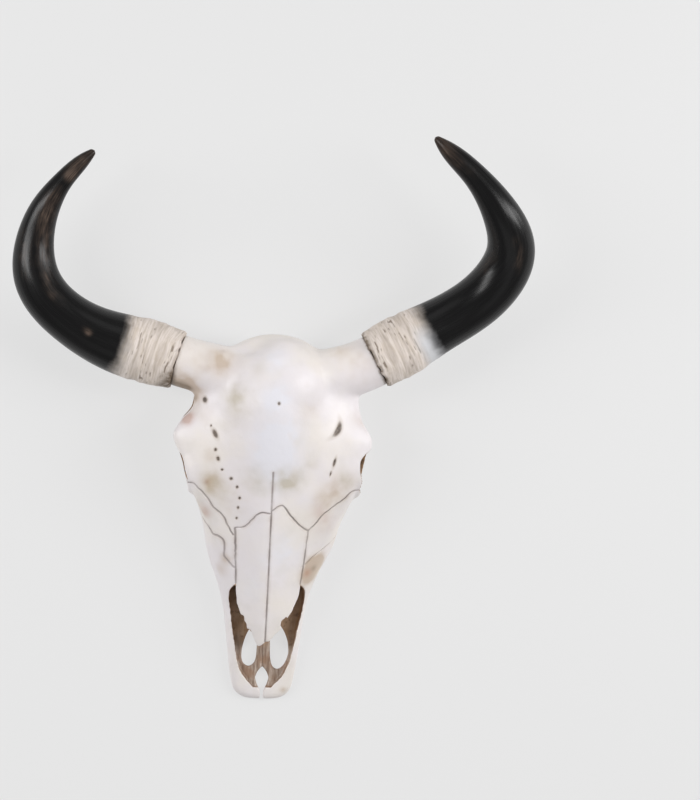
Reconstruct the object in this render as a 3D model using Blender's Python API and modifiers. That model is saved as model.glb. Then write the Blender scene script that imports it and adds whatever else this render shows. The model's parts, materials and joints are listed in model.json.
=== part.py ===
"""A life-size cow skull cast as a flat-backed relief, with its two horns, lying on its back.

The muzzle points along -Y, the poll and the horn tips along +Y, and the face looks up +Z. Forms are modelled
in millimetres with y measured from the tip of the muzzle and z from the flat back, and MM turns them into
metres. The origin is on the flat back, under the middle of the forehead. The skull is modelled whole,
hollowed where the cast is hollow, and parted along its sutures with thin cuts.
"""

import math

import bmesh
import bpy
import numpy as np
from mathutils import Matrix, Vector

MM = 0.001
GAP = 0.4  # between neighbouring solids
BELOW = 14.0  # how far forms reach under the back before it is cut flat
CAST_TOP = 190.0  # above everything
FACE_END = 452.0  # where the face's loft ends, inside the poll
ORIGIN_FROM_MUZZLE = 350.0

# Rails of the face: (distance from the muzzle, value). A section runs over the midline, the inner rail and the
# shoulder, and down the side wall to the back.
MIDLINE_Z = ((0, 7), (5, 11), (20, 15), (42, 29), (62, 45), (79, 53), (183, 86), (296, 117), (352, 135),
             (392, 143), (452, 136))
INNER_X = ((0, 8), (20, 12), (62, 14), (85, 21), (113, 35), (154, 43), (222, 47), (284, 60), (351, 79),
           (400, 72), (452, 60))
INNER_Z = ((0, 7), (5, 11), (20, 15), (40, 23), (62, 38), (98, 48), (126, 50), (154, 56), (225, 81),
           (284, 101), (351, 107), (400, 108), (452, 101))
SHOULDER_X = ((0, 13), (3, 23), (9, 30), (20, 36), (60, 42), (118, 50), (154, 56), (206, 73), (239, 84),
              (284, 108), (318, 119), (346, 129), (368, 118), (386, 107), (418, 103), (452, 82))
SHOULDER_Z = ((0, 6), (5, 9), (20, 13), (60, 20), (110, 23), (126, 27), (154, 45), (206, 60), (239, 74),
              (318, 91), (346, 92), (386, 84), (452, 82))
HALF_WIDTH = ((0, 19), (3, 28), (8, 34.5), (17, 39.5), (30, 42), (45, 44.5), (76, 48.5), (118, 54), (152, 62),
              (183, 74.5), (204, 83), (235, 90), (258, 99), (297, 116), (330, 125), (346, 128), (368, 118),
              (390, 110), (418, 106), (452, 84))
# How far the sides are skewed to the right.
SKEW = ((175, 0), (225, 4), (297, 6), (330, 3), (352, 0), (368, 0), (386, 6), (452, 4))
BACK_HALF = ((0, 19), (3, 28), (8, 34), (17, 39), (118, 53), (204, 81), (258, 97), (297, 112), (330, 119),
             (352, 113), (392, 92), (452, 72))

# The nasal bones in plan, both together: (distance from the muzzle, half width).
NASAL_HALF = ((72, 6), (80, 13), (91, 21), (100, 23), (106, 26), (116, 33.5), (129, 38), (154, 43), (225, 47.5),
              (231, 34), (240, 24), (250, 12))
NASAL_THICKNESS = 9.0

# The nasal cavity in plan: its rim, what stands in it, and the openings through its floor.
CAVITY_HALF = ((16, 12), (22, 17), (31, 25), (42, 31), (62, 36), (100, 43), (126, 48), (146, 49), (156, 44))
CAVITY_FLOOR = 8.0
SEPTUM_HALF = 6.0
SEPTUM_END = 80.0
TURBINATE_SPAN, TURBINATE_INSET = (100.0, 150.0), 4.0  # the body under the nasal bones, from their edges inward
FISSURES = (((21.9, 67.0), (12.5, 28.0)), ((-17.9, 67.0), (10.2, 24.5)))  # (middle, half size) of each oval
FISSURE_SIDES = 20
TIP_GAP_MIDDLE, TIP_GAP_HALF = 28.0, (9.2, 15.5)
TIP_SLIT_HALF = 2.1

# The orbits and the temporal fossae behind them, on either side before it is skewed.
RIM_CENTRE, RIM_RADIUS, RIM_TUBE, RIM_TURN = (114.0, 311.0, 58.0), 35.0, 5.5, 11.0
ORBIT_CENTRE = {"right": (122.5, 309.0, 65.0), "left": (130.0, 306.0, 60.0)}
ORBIT_RADII = (24.0, 33.0, 38.0)
FOSSA_CENTRE, FOSSA_RADII = (120.0, 393.0, 59.0), (18.0, 20.5, 26.0)

# The broad back of the head, and the knob of the poll on it.
HEAD_CENTRE, HEAD_RADII = (0.0, 415.0, 72.0), (80.0, 68.0, 40.0)
POLL_CENTRE, POLL_RADII = (11.0, 414.0, 88.0), (59.0, 62.0, 55.0)
OCCIPUT_CENTRE, OCCIPUT_RADII = (0.0, 394.0, 22.0), (88.0, 70.0, 70.0)

# Where the frontal bone meets the bones of the face, in plan, from the midline out.
FRONTAL_SUTURE = ((0, 238), (48, 219), (57, 229), (66, 241), (79, 254), (96, 272), (106, 282), (150, 286))
# The right lacrimal bone's edge before it is skewed, (x, y, z), and the way it faces.
LACRIMAL_EDGE = (
    (43, 229, 84), (55, 237, 86), (64, 250, 88), (76, 262, 88), (95, 281, 88), (103, 288, 86), (112, 288, 60),
    (108, 285, 36), (98, 258, 37), (84, 230, 42), (76, 213, 52), (67, 200, 62), (57, 188, 66), (43, 168, 70),
)
LACRIMAL_FACING = Vector((0.72, -0.15, 0.68)).normalized()
LACRIMAL_THICKNESS = 14.0

# Horn paths, (x, y, z, radius): the first point is where the horn leaves the bone.
HORN_PATHS = {
    "right": ((131, 452, 76, 39), (166, 472, 80, 40.5), (201, 493, 84, 36.5), (266, 537, 92, 34),
              (297, 593, 119, 31.5), (280, 640, 147, 24.5), (240, 689, 161, 15.8), (199, 724, 168, 8.2),
              (189, 733, 169, 3.2)),
    "left": ((-125, 444, 75, 38), (-163, 454, 72, 41.5), (-197, 462, 73, 40), (-260, 489, 81, 33),
             (-309, 542, 91, 29.5), (-312, 597, 99, 23.5), (-297, 639, 114, 17.4), (-278, 667, 122, 12.6),
             (-250, 696, 127, 7.6), (-240, 705, 129, 3.5)),
}
HORN_RINGS = 22
CORE_STEP = 4.5  # how much the horn stands proud of its bony core
CORE_INSIDE = 8.0  # how far the core's form reaches into the horn before it is cut back
CORE_NECK = 12.0  # its straight end outside the horn
SOCKET_LENGTH = 40.0
CORE_ROOT, CORE_KNEE = (0.0, 412.0, 78.0, 38.0), (84.0, 433.0, 77.0, 35.5)

SIDES = (("right", 1), ("left", -1))

# How the forms are melted together: voxels, rounds of smoothing, and the share of faces kept.
MELT_VOXEL, MELT_SMOOTHING, MELT_KEEP = 3.2, 8, 0.055
SHARP_ANGLE = 40.0

COLOURS = {
    "bone": ((0.80, 0.76, 0.73), 0.42),
    "horn": ((0.02, 0.018, 0.016), 0.28),
}


def clear_scene():
    for obj in list(bpy.data.objects):
        bpy.data.objects.remove(obj, do_unlink=True)


def collection(name):
    made = bpy.data.collections.new(name)
    bpy.context.scene.collection.children.link(made)
    return made


def material(name, colour, roughness):
    made = bpy.data.materials.new(name)
    made.use_nodes = True
    shader = made.node_tree.nodes["Principled BSDF"]
    shader.inputs["Base Color"].default_value = (*colour, 1)
    shader.inputs["Roughness"].default_value = roughness
    shader.inputs["Metallic"].default_value = 0.0
    return made


def rail(knots, at):
    """A cubic through (place, value) knots that never overshoots them, read at one place or several."""
    x, y = np.array(knots, float).T
    step = np.diff(x)
    slope = np.diff(y) / step
    before, after = slope[:-1], slope[1:]
    same_way = before * after > 0
    mean = 2 * before * after / np.where(same_way, before + after, 1)
    tangent = np.concatenate(([slope[0]], np.where(same_way, mean, 0), [slope[-1]]))
    at = np.clip(at, x[0], x[-1])
    i = np.clip(np.searchsorted(x, at, side="right") - 1, 0, len(step) - 1)
    t = (at - x[i]) / step[i]
    level = y[i] * (1 + 2 * t) * (1 - t) ** 2 + y[i + 1] * t * t * (3 - 2 * t)
    lean = step[i] * (tangent[i] * t * (1 - t) ** 2 - tangent[i + 1] * t * t * (1 - t))
    return level + lean


def through(points, count):
    """Points spaced evenly by chord along a smooth curve through rows of numbers."""
    rows = np.array(points, float)
    along = np.concatenate(([0], np.cumsum(np.linalg.norm(np.diff(rows[:, :3], axis=0), axis=1))))
    at = np.linspace(0, along[-1], count)
    return np.stack([rail(np.stack((along, column), 1), at) for column in rows.T], 1)


def spline(points, count):
    """Points spaced evenly by chord along the natural cubic through rows of numbers."""
    rows = np.array(points, float)
    along = np.concatenate(([0], np.cumsum(np.linalg.norm(np.diff(rows[:, :3], axis=0), axis=1))))
    step = np.diff(along)[:, None]
    slope = np.diff(rows, axis=0) / step
    system = np.eye(len(rows))
    for i in range(1, len(rows) - 1):
        system[i, i - 1:i + 2] = step[i - 1, 0], 2 * (step[i - 1, 0] + step[i, 0]), step[i, 0]
    bend = np.linalg.solve(system, np.pad(6 * np.diff(slope, axis=0), ((1, 1), (0, 0))))
    at = np.linspace(0, along[-1], count)
    i = np.clip(np.searchsorted(along, at, side="right") - 1, 0, len(step) - 1)
    t, h = (at - along[i])[:, None], step[i]
    curve = slope[i] - h * (2 * bend[i] + bend[i + 1]) / 6
    return rows[i] + t * (curve + t * (bend[i] / 2 + t * (bend[i + 1] - bend[i]) / (6 * h)))


def from_bmesh(name, bm, group):
    bmesh.ops.recalc_face_normals(bm, faces=bm.faces)
    mesh = bpy.data.meshes.new(name)
    bm.to_mesh(mesh)
    bm.free()
    obj = bpy.data.objects.new(name, mesh)
    group.objects.link(obj)
    return obj


def loft(name, loops, group):
    """A closed solid through loops of equally many (x, y, z) points, with its ends capped."""
    bm = bmesh.new()
    rings = [[bm.verts.new(Vector(p) * MM) for p in loop] for loop in loops]
    count = len(rings[0])
    for a, b in zip(rings, rings[1:]):
        for k in range(count):
            bm.faces.new((a[k], a[(k + 1) % count], b[(k + 1) % count], b[k]))
    caps = [bm.faces.new(rings[0]), bm.faces.new(rings[-1])]
    bmesh.ops.triangulate(bm, faces=caps)
    return from_bmesh(name, bm, group)


def ball(name, centre, radii, group):
    bm = bmesh.new()
    bmesh.ops.create_uvsphere(bm, u_segments=24, v_segments=14, radius=MM)
    place = Matrix.Translation(Vector(centre) * MM) @ Matrix.Diagonal((*radii, 1))
    bmesh.ops.transform(bm, matrix=place, verts=bm.verts)
    return from_bmesh(name, bm, group)


def box(name, low, high, group):
    bm = bmesh.new()
    bmesh.ops.create_cube(bm, size=MM)
    size, middle = Vector(high) - Vector(low), (Vector(high) + Vector(low)) / 2
    place = Matrix.Translation(middle * MM) @ Matrix.Diagonal((*size, 1))
    bmesh.ops.transform(bm, matrix=place, verts=bm.verts)
    return from_bmesh(name, bm, group)


def column(name, outline, group, low=-BELOW, high=CAST_TOP):
    """An upright prism over an outline of (x, y) points."""
    return loft(name, [[(x, y, z) for x, y in outline] for z in (low, high)], group)


def tube(name, path, group):
    """A round tube through (x, y, z, radius) points, as a closed mesh."""
    curve = bpy.data.curves.new(name, "CURVE")
    curve.dimensions = "3D"
    curve.bevel_depth = MM
    curve.bevel_resolution = 5
    curve.use_fill_caps = True
    line = curve.splines.new("POLY")
    line.points.add(len(path) - 1)
    for point, (x, y, z, radius) in zip(line.points, path):
        point.co = (x * MM, y * MM, z * MM, 1)
        point.radius = radius
    guide = bpy.data.objects.new(name, curve)
    group.objects.link(guide)
    mesh = bpy.data.meshes.new_from_object(guide.evaluated_get(bpy.context.evaluated_depsgraph_get()))
    bpy.data.objects.remove(guide)
    bm = bmesh.new()
    bm.from_mesh(mesh)
    bmesh.ops.remove_doubles(bm, verts=bm.verts, dist=1e-6)
    return from_bmesh(name, bm, group)


def settle(obj):
    """Applies the object's modifiers."""
    bpy.context.view_layer.update()
    mesh = bpy.data.meshes.new_from_object(obj.evaluated_get(bpy.context.evaluated_depsgraph_get()))
    obj.modifiers.clear()
    obj.data = mesh
    return obj


def boolean(obj, operation, *others):
    for other in others:
        modifier = obj.modifiers.new(operation.lower(), "BOOLEAN")
        modifier.operation = operation
        modifier.solver = "MANIFOLD"
        modifier.object = other
        settle(obj)
    return obj


def part_of(whole, name, group, operation, *others):
    """A new object: what is left of a whole after a cut, or its share inside another solid."""
    piece = bpy.data.objects.new(name, whole.data.copy())
    group.objects.link(piece)
    return boolean(piece, operation, *others)


def skewed(x, y):
    """Where a place x across the face's side sits at y."""
    return x + float(rail(SKEW, y))


def face_section(y, side):
    """The rails at y on one side, from the midline to the back: (distance across, z)."""
    shoulder_z = float(rail(SHOULDER_Z, y))
    skew = side * skewed(0.0, y)
    return [
        (0.0, float(rail(MIDLINE_Z, y))),
        (float(rail(INNER_X, y)), float(rail(INNER_Z, y))),
        (float(rail(SHOULDER_X, y)) + skew / 2, shoulder_z),
        (float(rail(HALF_WIDTH, y)) + skew, 0.6 * shoulder_z),
        (float(rail(BACK_HALF, y)) + skew, -BELOW),
    ]


def face_loop(y, samples=14):
    """The whole section at y as a smooth loop, closed along the back."""
    left = [(-x, 0.0, z) for x, z in reversed(face_section(y, -1)[1:])]
    path = through(left + [(x, 0.0, z) for x, z in face_section(y, 1)], 2 * samples + 1)
    return [(x, y, z) for x, _, z in path]


def roof_loop(y, low, high, depth):
    """The share of the section at y from low to high across, starting a depth under the face's surface."""
    path = np.array(face_loop(y, 40))
    path = path[np.argsort(path[:, 0])]
    across = np.linspace(low, high, 9)
    under = [(x, y, float(np.interp(x, path[:, 0], path[:, 2])) - depth) for x in across]
    return under + [(high, y, CAST_TOP), (low, y, CAST_TOP)]


def nasal_plug(name, side, group):
    """The room of one nasal bone, or with side 0 the clearance round both."""
    grow = 0.0 if side else GAP
    places = np.linspace(NASAL_HALF[0][0], NASAL_HALF[-1][0], 26)
    loops = []
    for y in places:
        half = float(rail(NASAL_HALF, y)) + grow
        low, high = sorted((side * GAP / 2, side * half)) if side else (-half, half)
        loops.append(roof_loop(float(y), low, high, NASAL_THICKNESS + grow))
    loops[0] = [(x, y - grow, z) for x, y, z in loops[0]]
    loops[-1] = [(x, y + grow, z) for x, y, z in loops[-1]]
    return loft(name, loops, group)


def orbital_rim(side, group):
    """A torus standing on the side of the skull, turned a little to the front."""
    profile = [math.tau * k / 10 for k in range(10)]
    rings = []
    bm = bmesh.new()
    for turn in (math.tau * j / 28 for j in range(28)):
        reach = [RIM_RADIUS + RIM_TUBE * math.cos(k) for k in profile]
        across = [RIM_TUBE * math.sin(k) for k in profile]
        points = [(x, r * math.cos(turn), r * math.sin(turn)) for x, r in zip(across, reach)]
        rings.append([bm.verts.new(Vector(p) * MM) for p in points])
    for a, b in zip(rings, rings[1:] + rings[:1]):
        for k in range(10):
            bm.faces.new((a[k], a[(k + 1) % 10], b[(k + 1) % 10], b[k]))
    x, y, z = RIM_CENTRE
    turned = Matrix.Rotation(math.radians(-side * RIM_TURN), 4, "Z")
    place = Matrix.Translation(Vector((skewed(side * x, y), y, z)) * MM)
    bmesh.ops.transform(bm, matrix=place @ turned, verts=bm.verts)
    return from_bmesh("rim", bm, group)


def horn_base(path):
    """Where a horn leaves the bone, the way it leaves, and its radius there."""
    first, second = spline(path, HORN_RINGS)[:2]
    base = Vector(first[:3])
    return base, (Vector(second[:3]) - base).normalized(), float(first[3])


def horn_core(side, path, group):
    """The bony core from the middle of the poll into the horn's base."""
    base, onward, radius = horn_base(path)
    x, y, z, knee_radius = CORE_KNEE
    neck = [(*(base + onward * reach), radius - CORE_STEP) for reach in (-CORE_NECK, CORE_INSIDE)]
    return tube("core", through((CORE_ROOT, (side * x, y, z, knee_radius), *neck), 12), group)


def whole_skull(group):
    """Face, poll, occiput, orbital rims and horn cores melted into one body, and cut flat at the back."""
    places = np.concatenate((np.linspace(0, 60, 7), np.linspace(70, FACE_END, 39)))
    forms = [
        loft("face", [face_loop(float(y)) for y in places], group),
        ball("head", HEAD_CENTRE, HEAD_RADII, group),
        ball("poll", POLL_CENTRE, POLL_RADII, group),
        ball("occiput", OCCIPUT_CENTRE, OCCIPUT_RADII, group),
    ]
    for name, side in SIDES:
        forms.append(orbital_rim(side, group))
        forms.append(horn_core(side, HORN_PATHS[name], group))
    bm = bmesh.new()
    for form in forms:
        bm.from_mesh(form.data)
        bpy.data.objects.remove(form)
    body = from_bmesh("skull", bm, group)
    melt = body.modifiers.new("melt", "REMESH")
    melt.mode = "VOXEL"
    melt.voxel_size = MELT_VOXEL * MM
    blend = body.modifiers.new("blend", "SMOOTH")
    blend.factor = 0.5
    blend.iterations = MELT_SMOOTHING
    thin = body.modifiers.new("thin", "DECIMATE")
    thin.ratio = MELT_KEEP
    settle(body)
    return boolean(body, "INTERSECT", box("above_back", (-400, -20, 0), (400, 600, CAST_TOP), group))


def main():
    clear_scene()
    parts, cutters = collection("cow_skull"), collection("cutters")
    bone = material("bone", *COLOURS["bone"])
    horn_black = material("horn", *COLOURS["horn"])
    skull = whole_skull(cutters)

    for name, side in SIDES:
        hollows = (("orbit", ORBIT_CENTRE[name], ORBIT_RADII), ("fossa", FOSSA_CENTRE, FOSSA_RADII))
        for label, (x, y, z), radii in hollows:
            boolean(skull, "DIFFERENCE", ball(label, (skewed(side * x, y), y, z), radii, cutters))

    pieces = []
    for name, path in HORN_PATHS.items():
        pieces.append((tube("horn_" + name, spline(path, HORN_RINGS), parts), horn_black))
        base, onward, radius = horn_base(path)
        ends = (base - onward * GAP, base + onward * SOCKET_LENGTH)
        boolean(skull, "DIFFERENCE", tube("socket", [(*end, radius + GAP) for end in ends], cutters))

    for name, side in SIDES:
        room = nasal_plug("nasal_room", side, cutters)
        pieces.append((part_of(skull, "nasal_bone_" + name, parts, "INTERSECT", room), bone))
    boolean(skull, "DIFFERENCE", nasal_plug("nasal_clearance", 0, cutters))
    boolean(skull, "DIFFERENCE", *hollow_cutters(cutters))

    back, front = suture_columns(cutters)
    cranium = part_of(skull, "cranium", parts, "INTERSECT", back)
    boolean(skull, "INTERSECT", front)
    pieces.append((cranium, bone))
    for name, side in SIDES:
        jaw = part_of(skull, "upper_jaw_" + name, parts, "INTERSECT", half_space(side, cutters))
        plug = lacrimal_plug("lacrimal_room", side, 0.0, cutters)
        pieces.append((part_of(jaw, "lacrimal_" + name, parts, "INTERSECT", plug), bone))
        boolean(jaw, "DIFFERENCE", lacrimal_plug("lacrimal_clearance", side, GAP, cutters))
        pieces.append((jaw, bone))
    origin = bpy.data.objects.new("muzzle_tip", None)
    origin.location.y = -ORIGIN_FROM_MUZZLE * MM
    parts.objects.link(origin)
    for obj, finish in pieces:
        obj.parent = origin
        obj.data.materials.clear()
        obj.data.materials.append(finish)
        obj.data.shade_smooth()
        obj.data.set_sharp_from_angle(angle=math.radians(SHARP_ANGLE))
    for obj in cutters.objects:
        obj.hide_render = True
        obj.display_type = "WIRE"


def half_space(side, group):
    """Everything on one side of the midline's cut."""
    near, far = side * GAP / 2, side * 400.0
    return box("half", (min(near, far), -20, -BELOW), (max(near, far), 600, CAST_TOP), group)


def suture_columns(group):
    """The room behind the frontal suture, and the room in front of it."""
    line = [(-x, y) for x, y in reversed(FRONTAL_SUTURE[1:])] + list(FRONTAL_SUTURE)
    far = FRONTAL_SUTURE[-1][0]
    back = [(x, y + GAP / 2) for x, y in line] + [(far, 520), (-far, 520)]
    front = [(x, y - GAP / 2) for x, y in line] + [(far, -20), (-far, -20)]
    return column("behind_suture", back, group), column("before_suture", front, group)


def hollow_cutters(group):
    """The nasal cavity round its septum and turbinates, and the openings through its floor."""
    side = [(x, y) for y, x in CAVITY_HALF]
    walls = [(float(rail(NASAL_HALF, y)) - TURBINATE_INSET, y) for y in np.linspace(*TURBINATE_SPAN, 7)[::-1]]
    right = side + walls + [(SEPTUM_HALF, TURBINATE_SPAN[0] - TURBINATE_INSET), (SEPTUM_HALF, SEPTUM_END)]
    made = [column("cavity", right + [(-x, y) for x, y in reversed(right)], group, CAVITY_FLOOR)]
    turns = [math.tau * k / FISSURE_SIDES for k in range(FISSURE_SIDES)]
    for (x, y), (wide, long) in FISSURES:
        oval = [(x + wide * math.cos(t), y + long * math.sin(t)) for t in turns]
        made.append(column("fissure", oval, group))
    across, along = TIP_GAP_HALF
    y = TIP_GAP_MIDDLE
    right = [(TIP_SLIT_HALF, -BELOW), (TIP_SLIT_HALF, y - along), (across, y)]
    made.append(column("tip_gap", right + [(0, y + along)] + [(-x, y) for x, y in reversed(right)], group))
    return made


def lacrimal_plug(name, side, grow, group):
    """The room of one lacrimal bone: its edge drawn inward and outward along the way it faces."""
    x, y, z = LACRIMAL_FACING
    facing = Vector((side * x, y, z))
    edge = [Vector((skewed(side * x, y), y, z)) for x, y, z in LACRIMAL_EDGE]
    grown = []
    for before, point, after in zip(edge[-1:] + edge[:-1], edge, edge[1:] + edge[:1]):
        outward = facing.cross(after - before) * side
        grown.append(point + outward.normalized() * grow)
    loops = [[point + facing * depth for point in grown] for depth in (-LACRIMAL_THICKNESS - grow, 30.0)]
    return loft(name, loops, group)


main()
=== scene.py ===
import itertools
import json
import math

import bmesh
import bpy
import numpy as np
from mathutils import Matrix, Vector
from mathutils.bvhtree import BVHTree
from mathutils.kdtree import KDTree

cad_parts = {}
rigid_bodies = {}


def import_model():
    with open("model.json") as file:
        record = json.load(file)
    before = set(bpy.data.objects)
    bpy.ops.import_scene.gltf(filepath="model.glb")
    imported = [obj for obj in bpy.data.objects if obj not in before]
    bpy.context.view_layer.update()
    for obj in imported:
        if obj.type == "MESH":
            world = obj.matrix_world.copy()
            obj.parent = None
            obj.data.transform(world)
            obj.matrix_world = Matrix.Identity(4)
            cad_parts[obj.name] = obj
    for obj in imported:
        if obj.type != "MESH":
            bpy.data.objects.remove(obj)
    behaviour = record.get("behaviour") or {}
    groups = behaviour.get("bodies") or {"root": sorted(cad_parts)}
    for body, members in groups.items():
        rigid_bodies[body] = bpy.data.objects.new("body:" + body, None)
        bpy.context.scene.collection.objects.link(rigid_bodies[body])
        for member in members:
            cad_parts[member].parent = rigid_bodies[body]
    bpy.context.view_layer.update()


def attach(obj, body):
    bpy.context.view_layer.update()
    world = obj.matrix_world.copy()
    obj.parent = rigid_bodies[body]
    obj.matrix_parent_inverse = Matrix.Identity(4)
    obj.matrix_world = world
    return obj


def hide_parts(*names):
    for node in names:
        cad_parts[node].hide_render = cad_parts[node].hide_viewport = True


# A life-size painted cast of a cow skull lying on its flat back, with two black horns on cream bases.
# Shapes are made in millimetres: x to the right as one looks at the face, y from the tip of the muzzle and
# z from the flat back. in_frame() moves them to the frame's metres. A span holds the ends of a soft step.

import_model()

MM = 0.001
TINY = 1e-9  # keeps lengths that are divided by above nothing
# The factors of the noise's hash, and half of its largest number.
HASH, HASH_ROUNDS = (73856093, 19349663, 83492791, 40503), ((13, 1274126177), (15, 2246822519))
HASH_HALF = 32767.5
ORIGIN_FROM_MUZZLE = 350.0
BELOW = 14.0  # how far forms reach under the back before it is cut flat
CAST_TOP = 190.0  # above everything
CUT = 0.3  # between neighbouring bones
FACE_END = 452.0
FACE_SPANS = ((0, 60, 20), (64, FACE_END, 98))  # (first, last, count) of the sections of the face
FACE_SAMPLES = 36  # of each side of a section
DEPTH_ROWS, DEPTH_COLUMNS, DEPTH_HALF = 120, 113, 140  # the table of the face's heights and its half width
PAST_LAST = 1.001  # keeps a place in the table short of its last row
BALL_SEGMENTS, BALL_RINGS, CORE_POINTS, CORE_SEGMENTS, SOCKET_SEGMENTS = 72, 40, 30, 56, 96
FISSURE_POINTS, TURBINATE_POINTS, LACRIMAL_STEP = 60, 30, 2.0
SUTURE_FROM = 60  # how far out the lacrimal's edge is dropped onto the bone from
WALL_SHARE = 0.6  # of the shoulder's height, where a section is widest
ABOVE_BACK = ((-400, -20, 0), (400, 600, CAST_TOP))  # what is kept above the flat back
BEYOND = 520  # behind the head
SIDES = (("right", 1), ("left", -1))

# Rails of the face: (distance from the muzzle, value).
MIDLINE_Z = ((0, 7), (5, 11), (20, 15), (42, 29), (62, 45), (79, 53), (183, 86), (296, 117), (352, 135),
             (392, 143), (452, 136))
INNER_X = ((0, 8), (20, 12), (62, 14), (85, 21), (113, 35), (154, 43), (222, 47), (284, 60), (351, 79),
           (400, 72), (452, 60))
INNER_Z = ((0, 7), (5, 11), (20, 15), (40, 23), (62, 38), (98, 48), (126, 50), (154, 56), (225, 81),
           (284, 101), (351, 107), (400, 108), (452, 101))
SHOULDER_X = ((0, 13), (3, 23), (9, 30), (20, 36), (60, 42), (118, 50), (154, 56), (206, 73), (239, 84),
              (284, 108), (318, 119), (346, 129), (368, 118), (386, 107), (418, 103), (452, 82))
SHOULDER_Z = ((0, 6), (5, 9), (20, 13), (60, 20), (110, 23), (126, 27), (154, 45), (206, 60), (239, 74),
              (318, 91), (346, 92), (386, 84), (452, 82))
HALF_WIDTH = ((0, 19), (3, 28), (8, 34.5), (17, 39.5), (30, 42), (45, 44.5), (76, 48.5), (118, 54), (152, 62),
              (183, 74.5), (204, 83), (235, 90), (258, 99), (297, 116), (330, 125), (346, 128), (368, 118),
              (390, 110), (418, 106), (452, 84))
SKEW = ((175, 0), (225, 4), (297, 6), (330, 3), (352, 0), (368, 0), (386, 6), (452, 4))
BACK_HALF = ((0, 19), (3, 28), (8, 34), (17, 39), (118, 53), (204, 81), (258, 97), (297, 112), (330, 119),
             (352, 113), (392, 92), (452, 72))

# The outer edges of the nasal bones in plan, (x, y), from their tips to the forehead.
NASAL_EDGE = {
    "left": ((-0.3, 79.5), (-2.4, 77.1), (-4.6, 74.4), (-8, 72.9), (-14, 83), (-20.8, 96), (-24.2, 95.6),
             (-24.9, 103.8), (-27.5, 106), (-28.3, 113.4), (-31.6, 114.8), (-35.5, 122), (-38.9, 135),
             (-40.8, 158), (-42.6, 188), (-45.2, 229.3)),
    "right": ((0.3, 79.8), (1.3, 80.7), (4, 80.9), (7, 82.4), (14, 91), (20.4, 97.5), (19.2, 102),
              (20.2, 108), (23.4, 113), (27.5, 109.6), (28.4, 112.4), (33.2, 118.6), (38.2, 130.5), (42, 142),
              (43.7, 157), (47.7, 197), (49.8, 227.9)),
}
NASAL_THICKNESS = 8.0
NASAL_LIP = 6.5  # how thick the bones are where they stand over the cavity
NASAL_SPARE = 3.0  # how far their room reaches past their outer edges
NASAL_TIP_SPAN, NASAL_SPARE_SPAN = (78, 95), (138, 154)
UNDER_FACE = (60, 270, 43)  # (first, last, count) of the sections of what the bones lie on
# The suture between the nasal bones and the forehead, from the outer corners to the midline.
NASAL_TOP = {
    "left": ((-45.2, 229.3), (-38, 230), (-31.4, 232.6), (-24.2, 240.8), (-16.9, 248.3), (-10.6, 250.5),
             (0, 249)),
    "right": ((49.8, 227.9), (42, 232), (34.4, 238.3), (28, 245), (23.1, 250), (19, 256), (16.8, 258.4),
              (12.8, 260.2), (5.8, 256.8), (0, 252.1)),
}
# The suture between the forehead and the lacrimal bones, from the nasal bones to the orbits.
FRONTAL_EDGE = {
    "left": ((-47.3, 220), (-54.2, 231.6), (-62.6, 245.8), (-73.2, 254.5), (-81.4, 266), (-93.4, 278.6),
             (-102.6, 286.1), (-170, 290)),
    "right": ((49.8, 227.9), (59.7, 238.6), (67.1, 248), (80.8, 260.1), (96.3, 272.1), (106, 281),
              (170, 287)),
}
# The lower edge of the lacrimal bones, (x, y, z), from the orbits to the nasal bones.
LACRIMAL_EDGE = {
    "left": ((-107, 288, 60), (-104, 284, 38), (-96, 262, 38), (-85, 243, 50), (-75.7, 226.6, 68),
             (-72.8, 220, 68), (-66.3, 217.8, 70.7), (-59.7, 212.8, 71.2), (-57.2, 200.9, 66.7),
             (-57.4, 191.5, 62.7), (-53.3, 186.4, 62.6), (-46.6, 178.8, 63), (-43.4, 175.4, 66)),
    "right": ((118, 290, 60), (114, 280, 38), (106, 262.5, 35), (98, 244.5, 37), (89.4, 224, 46),
              (78.5, 211, 56), (66.5, 199.5, 62), (58, 191.5, 64), (52, 184, 65), (45, 178, 68)),
}
LACRIMAL_FACING = Vector((0.72, -0.15, 0.68)).normalized()
LACRIMAL_THICKNESS, LACRIMAL_ABOVE = 14.0, 30.0
# The lacrimal bone's room behind the frontal suture, on the right.
LACRIMAL_BEHIND = ((43, 229, 84), (55, 242, 86), (64, 254, 88), (76, 268, 88), (95, 288, 88), (108, 296, 82))
MIDLINE_SUTURE = (80.0, 304.0)  # where the line down the middle starts and ends
MIDLINE_STEP = 0.8
NASAL_FREE = 156  # from here on the nasal bones' outer edges are sutures
# How fine each line is: beside the nasal bone, above it, in front of the forehead and below the lacrimal.
MIDLINE_FINENESS = 0.8
FINENESS = {"left": (0.62, 0.95, 0.85, 0.66), "right": (0.85, 0.9, 1.0, 1.3)}

# The nasal cavity in plan: its rim, what stands in it, and the openings through its floor.
CAVITY_EDGE = {
    "left": ((-12, 16), (-17, 22), (-25, 31), (-31, 42), (-36, 62), (-42, 95), (-46.5, 124), (-48.5, 140),
             (-47, 147), (-41, 155)),
    "right": ((12, 16), (17, 22), (25, 31), (31, 42), (37, 62), (43.5, 95), (49.5, 124), (51, 141), (50, 148),
              (43.5, 156)),
}
CAVITY_FLOOR = 8.0
SEPTUM_HALF = 6.0
SEPTUM_END = 80.0
TURBINATE_SPAN, TURBINATE_INSET = (90.0, 150.0), 4.0
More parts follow.
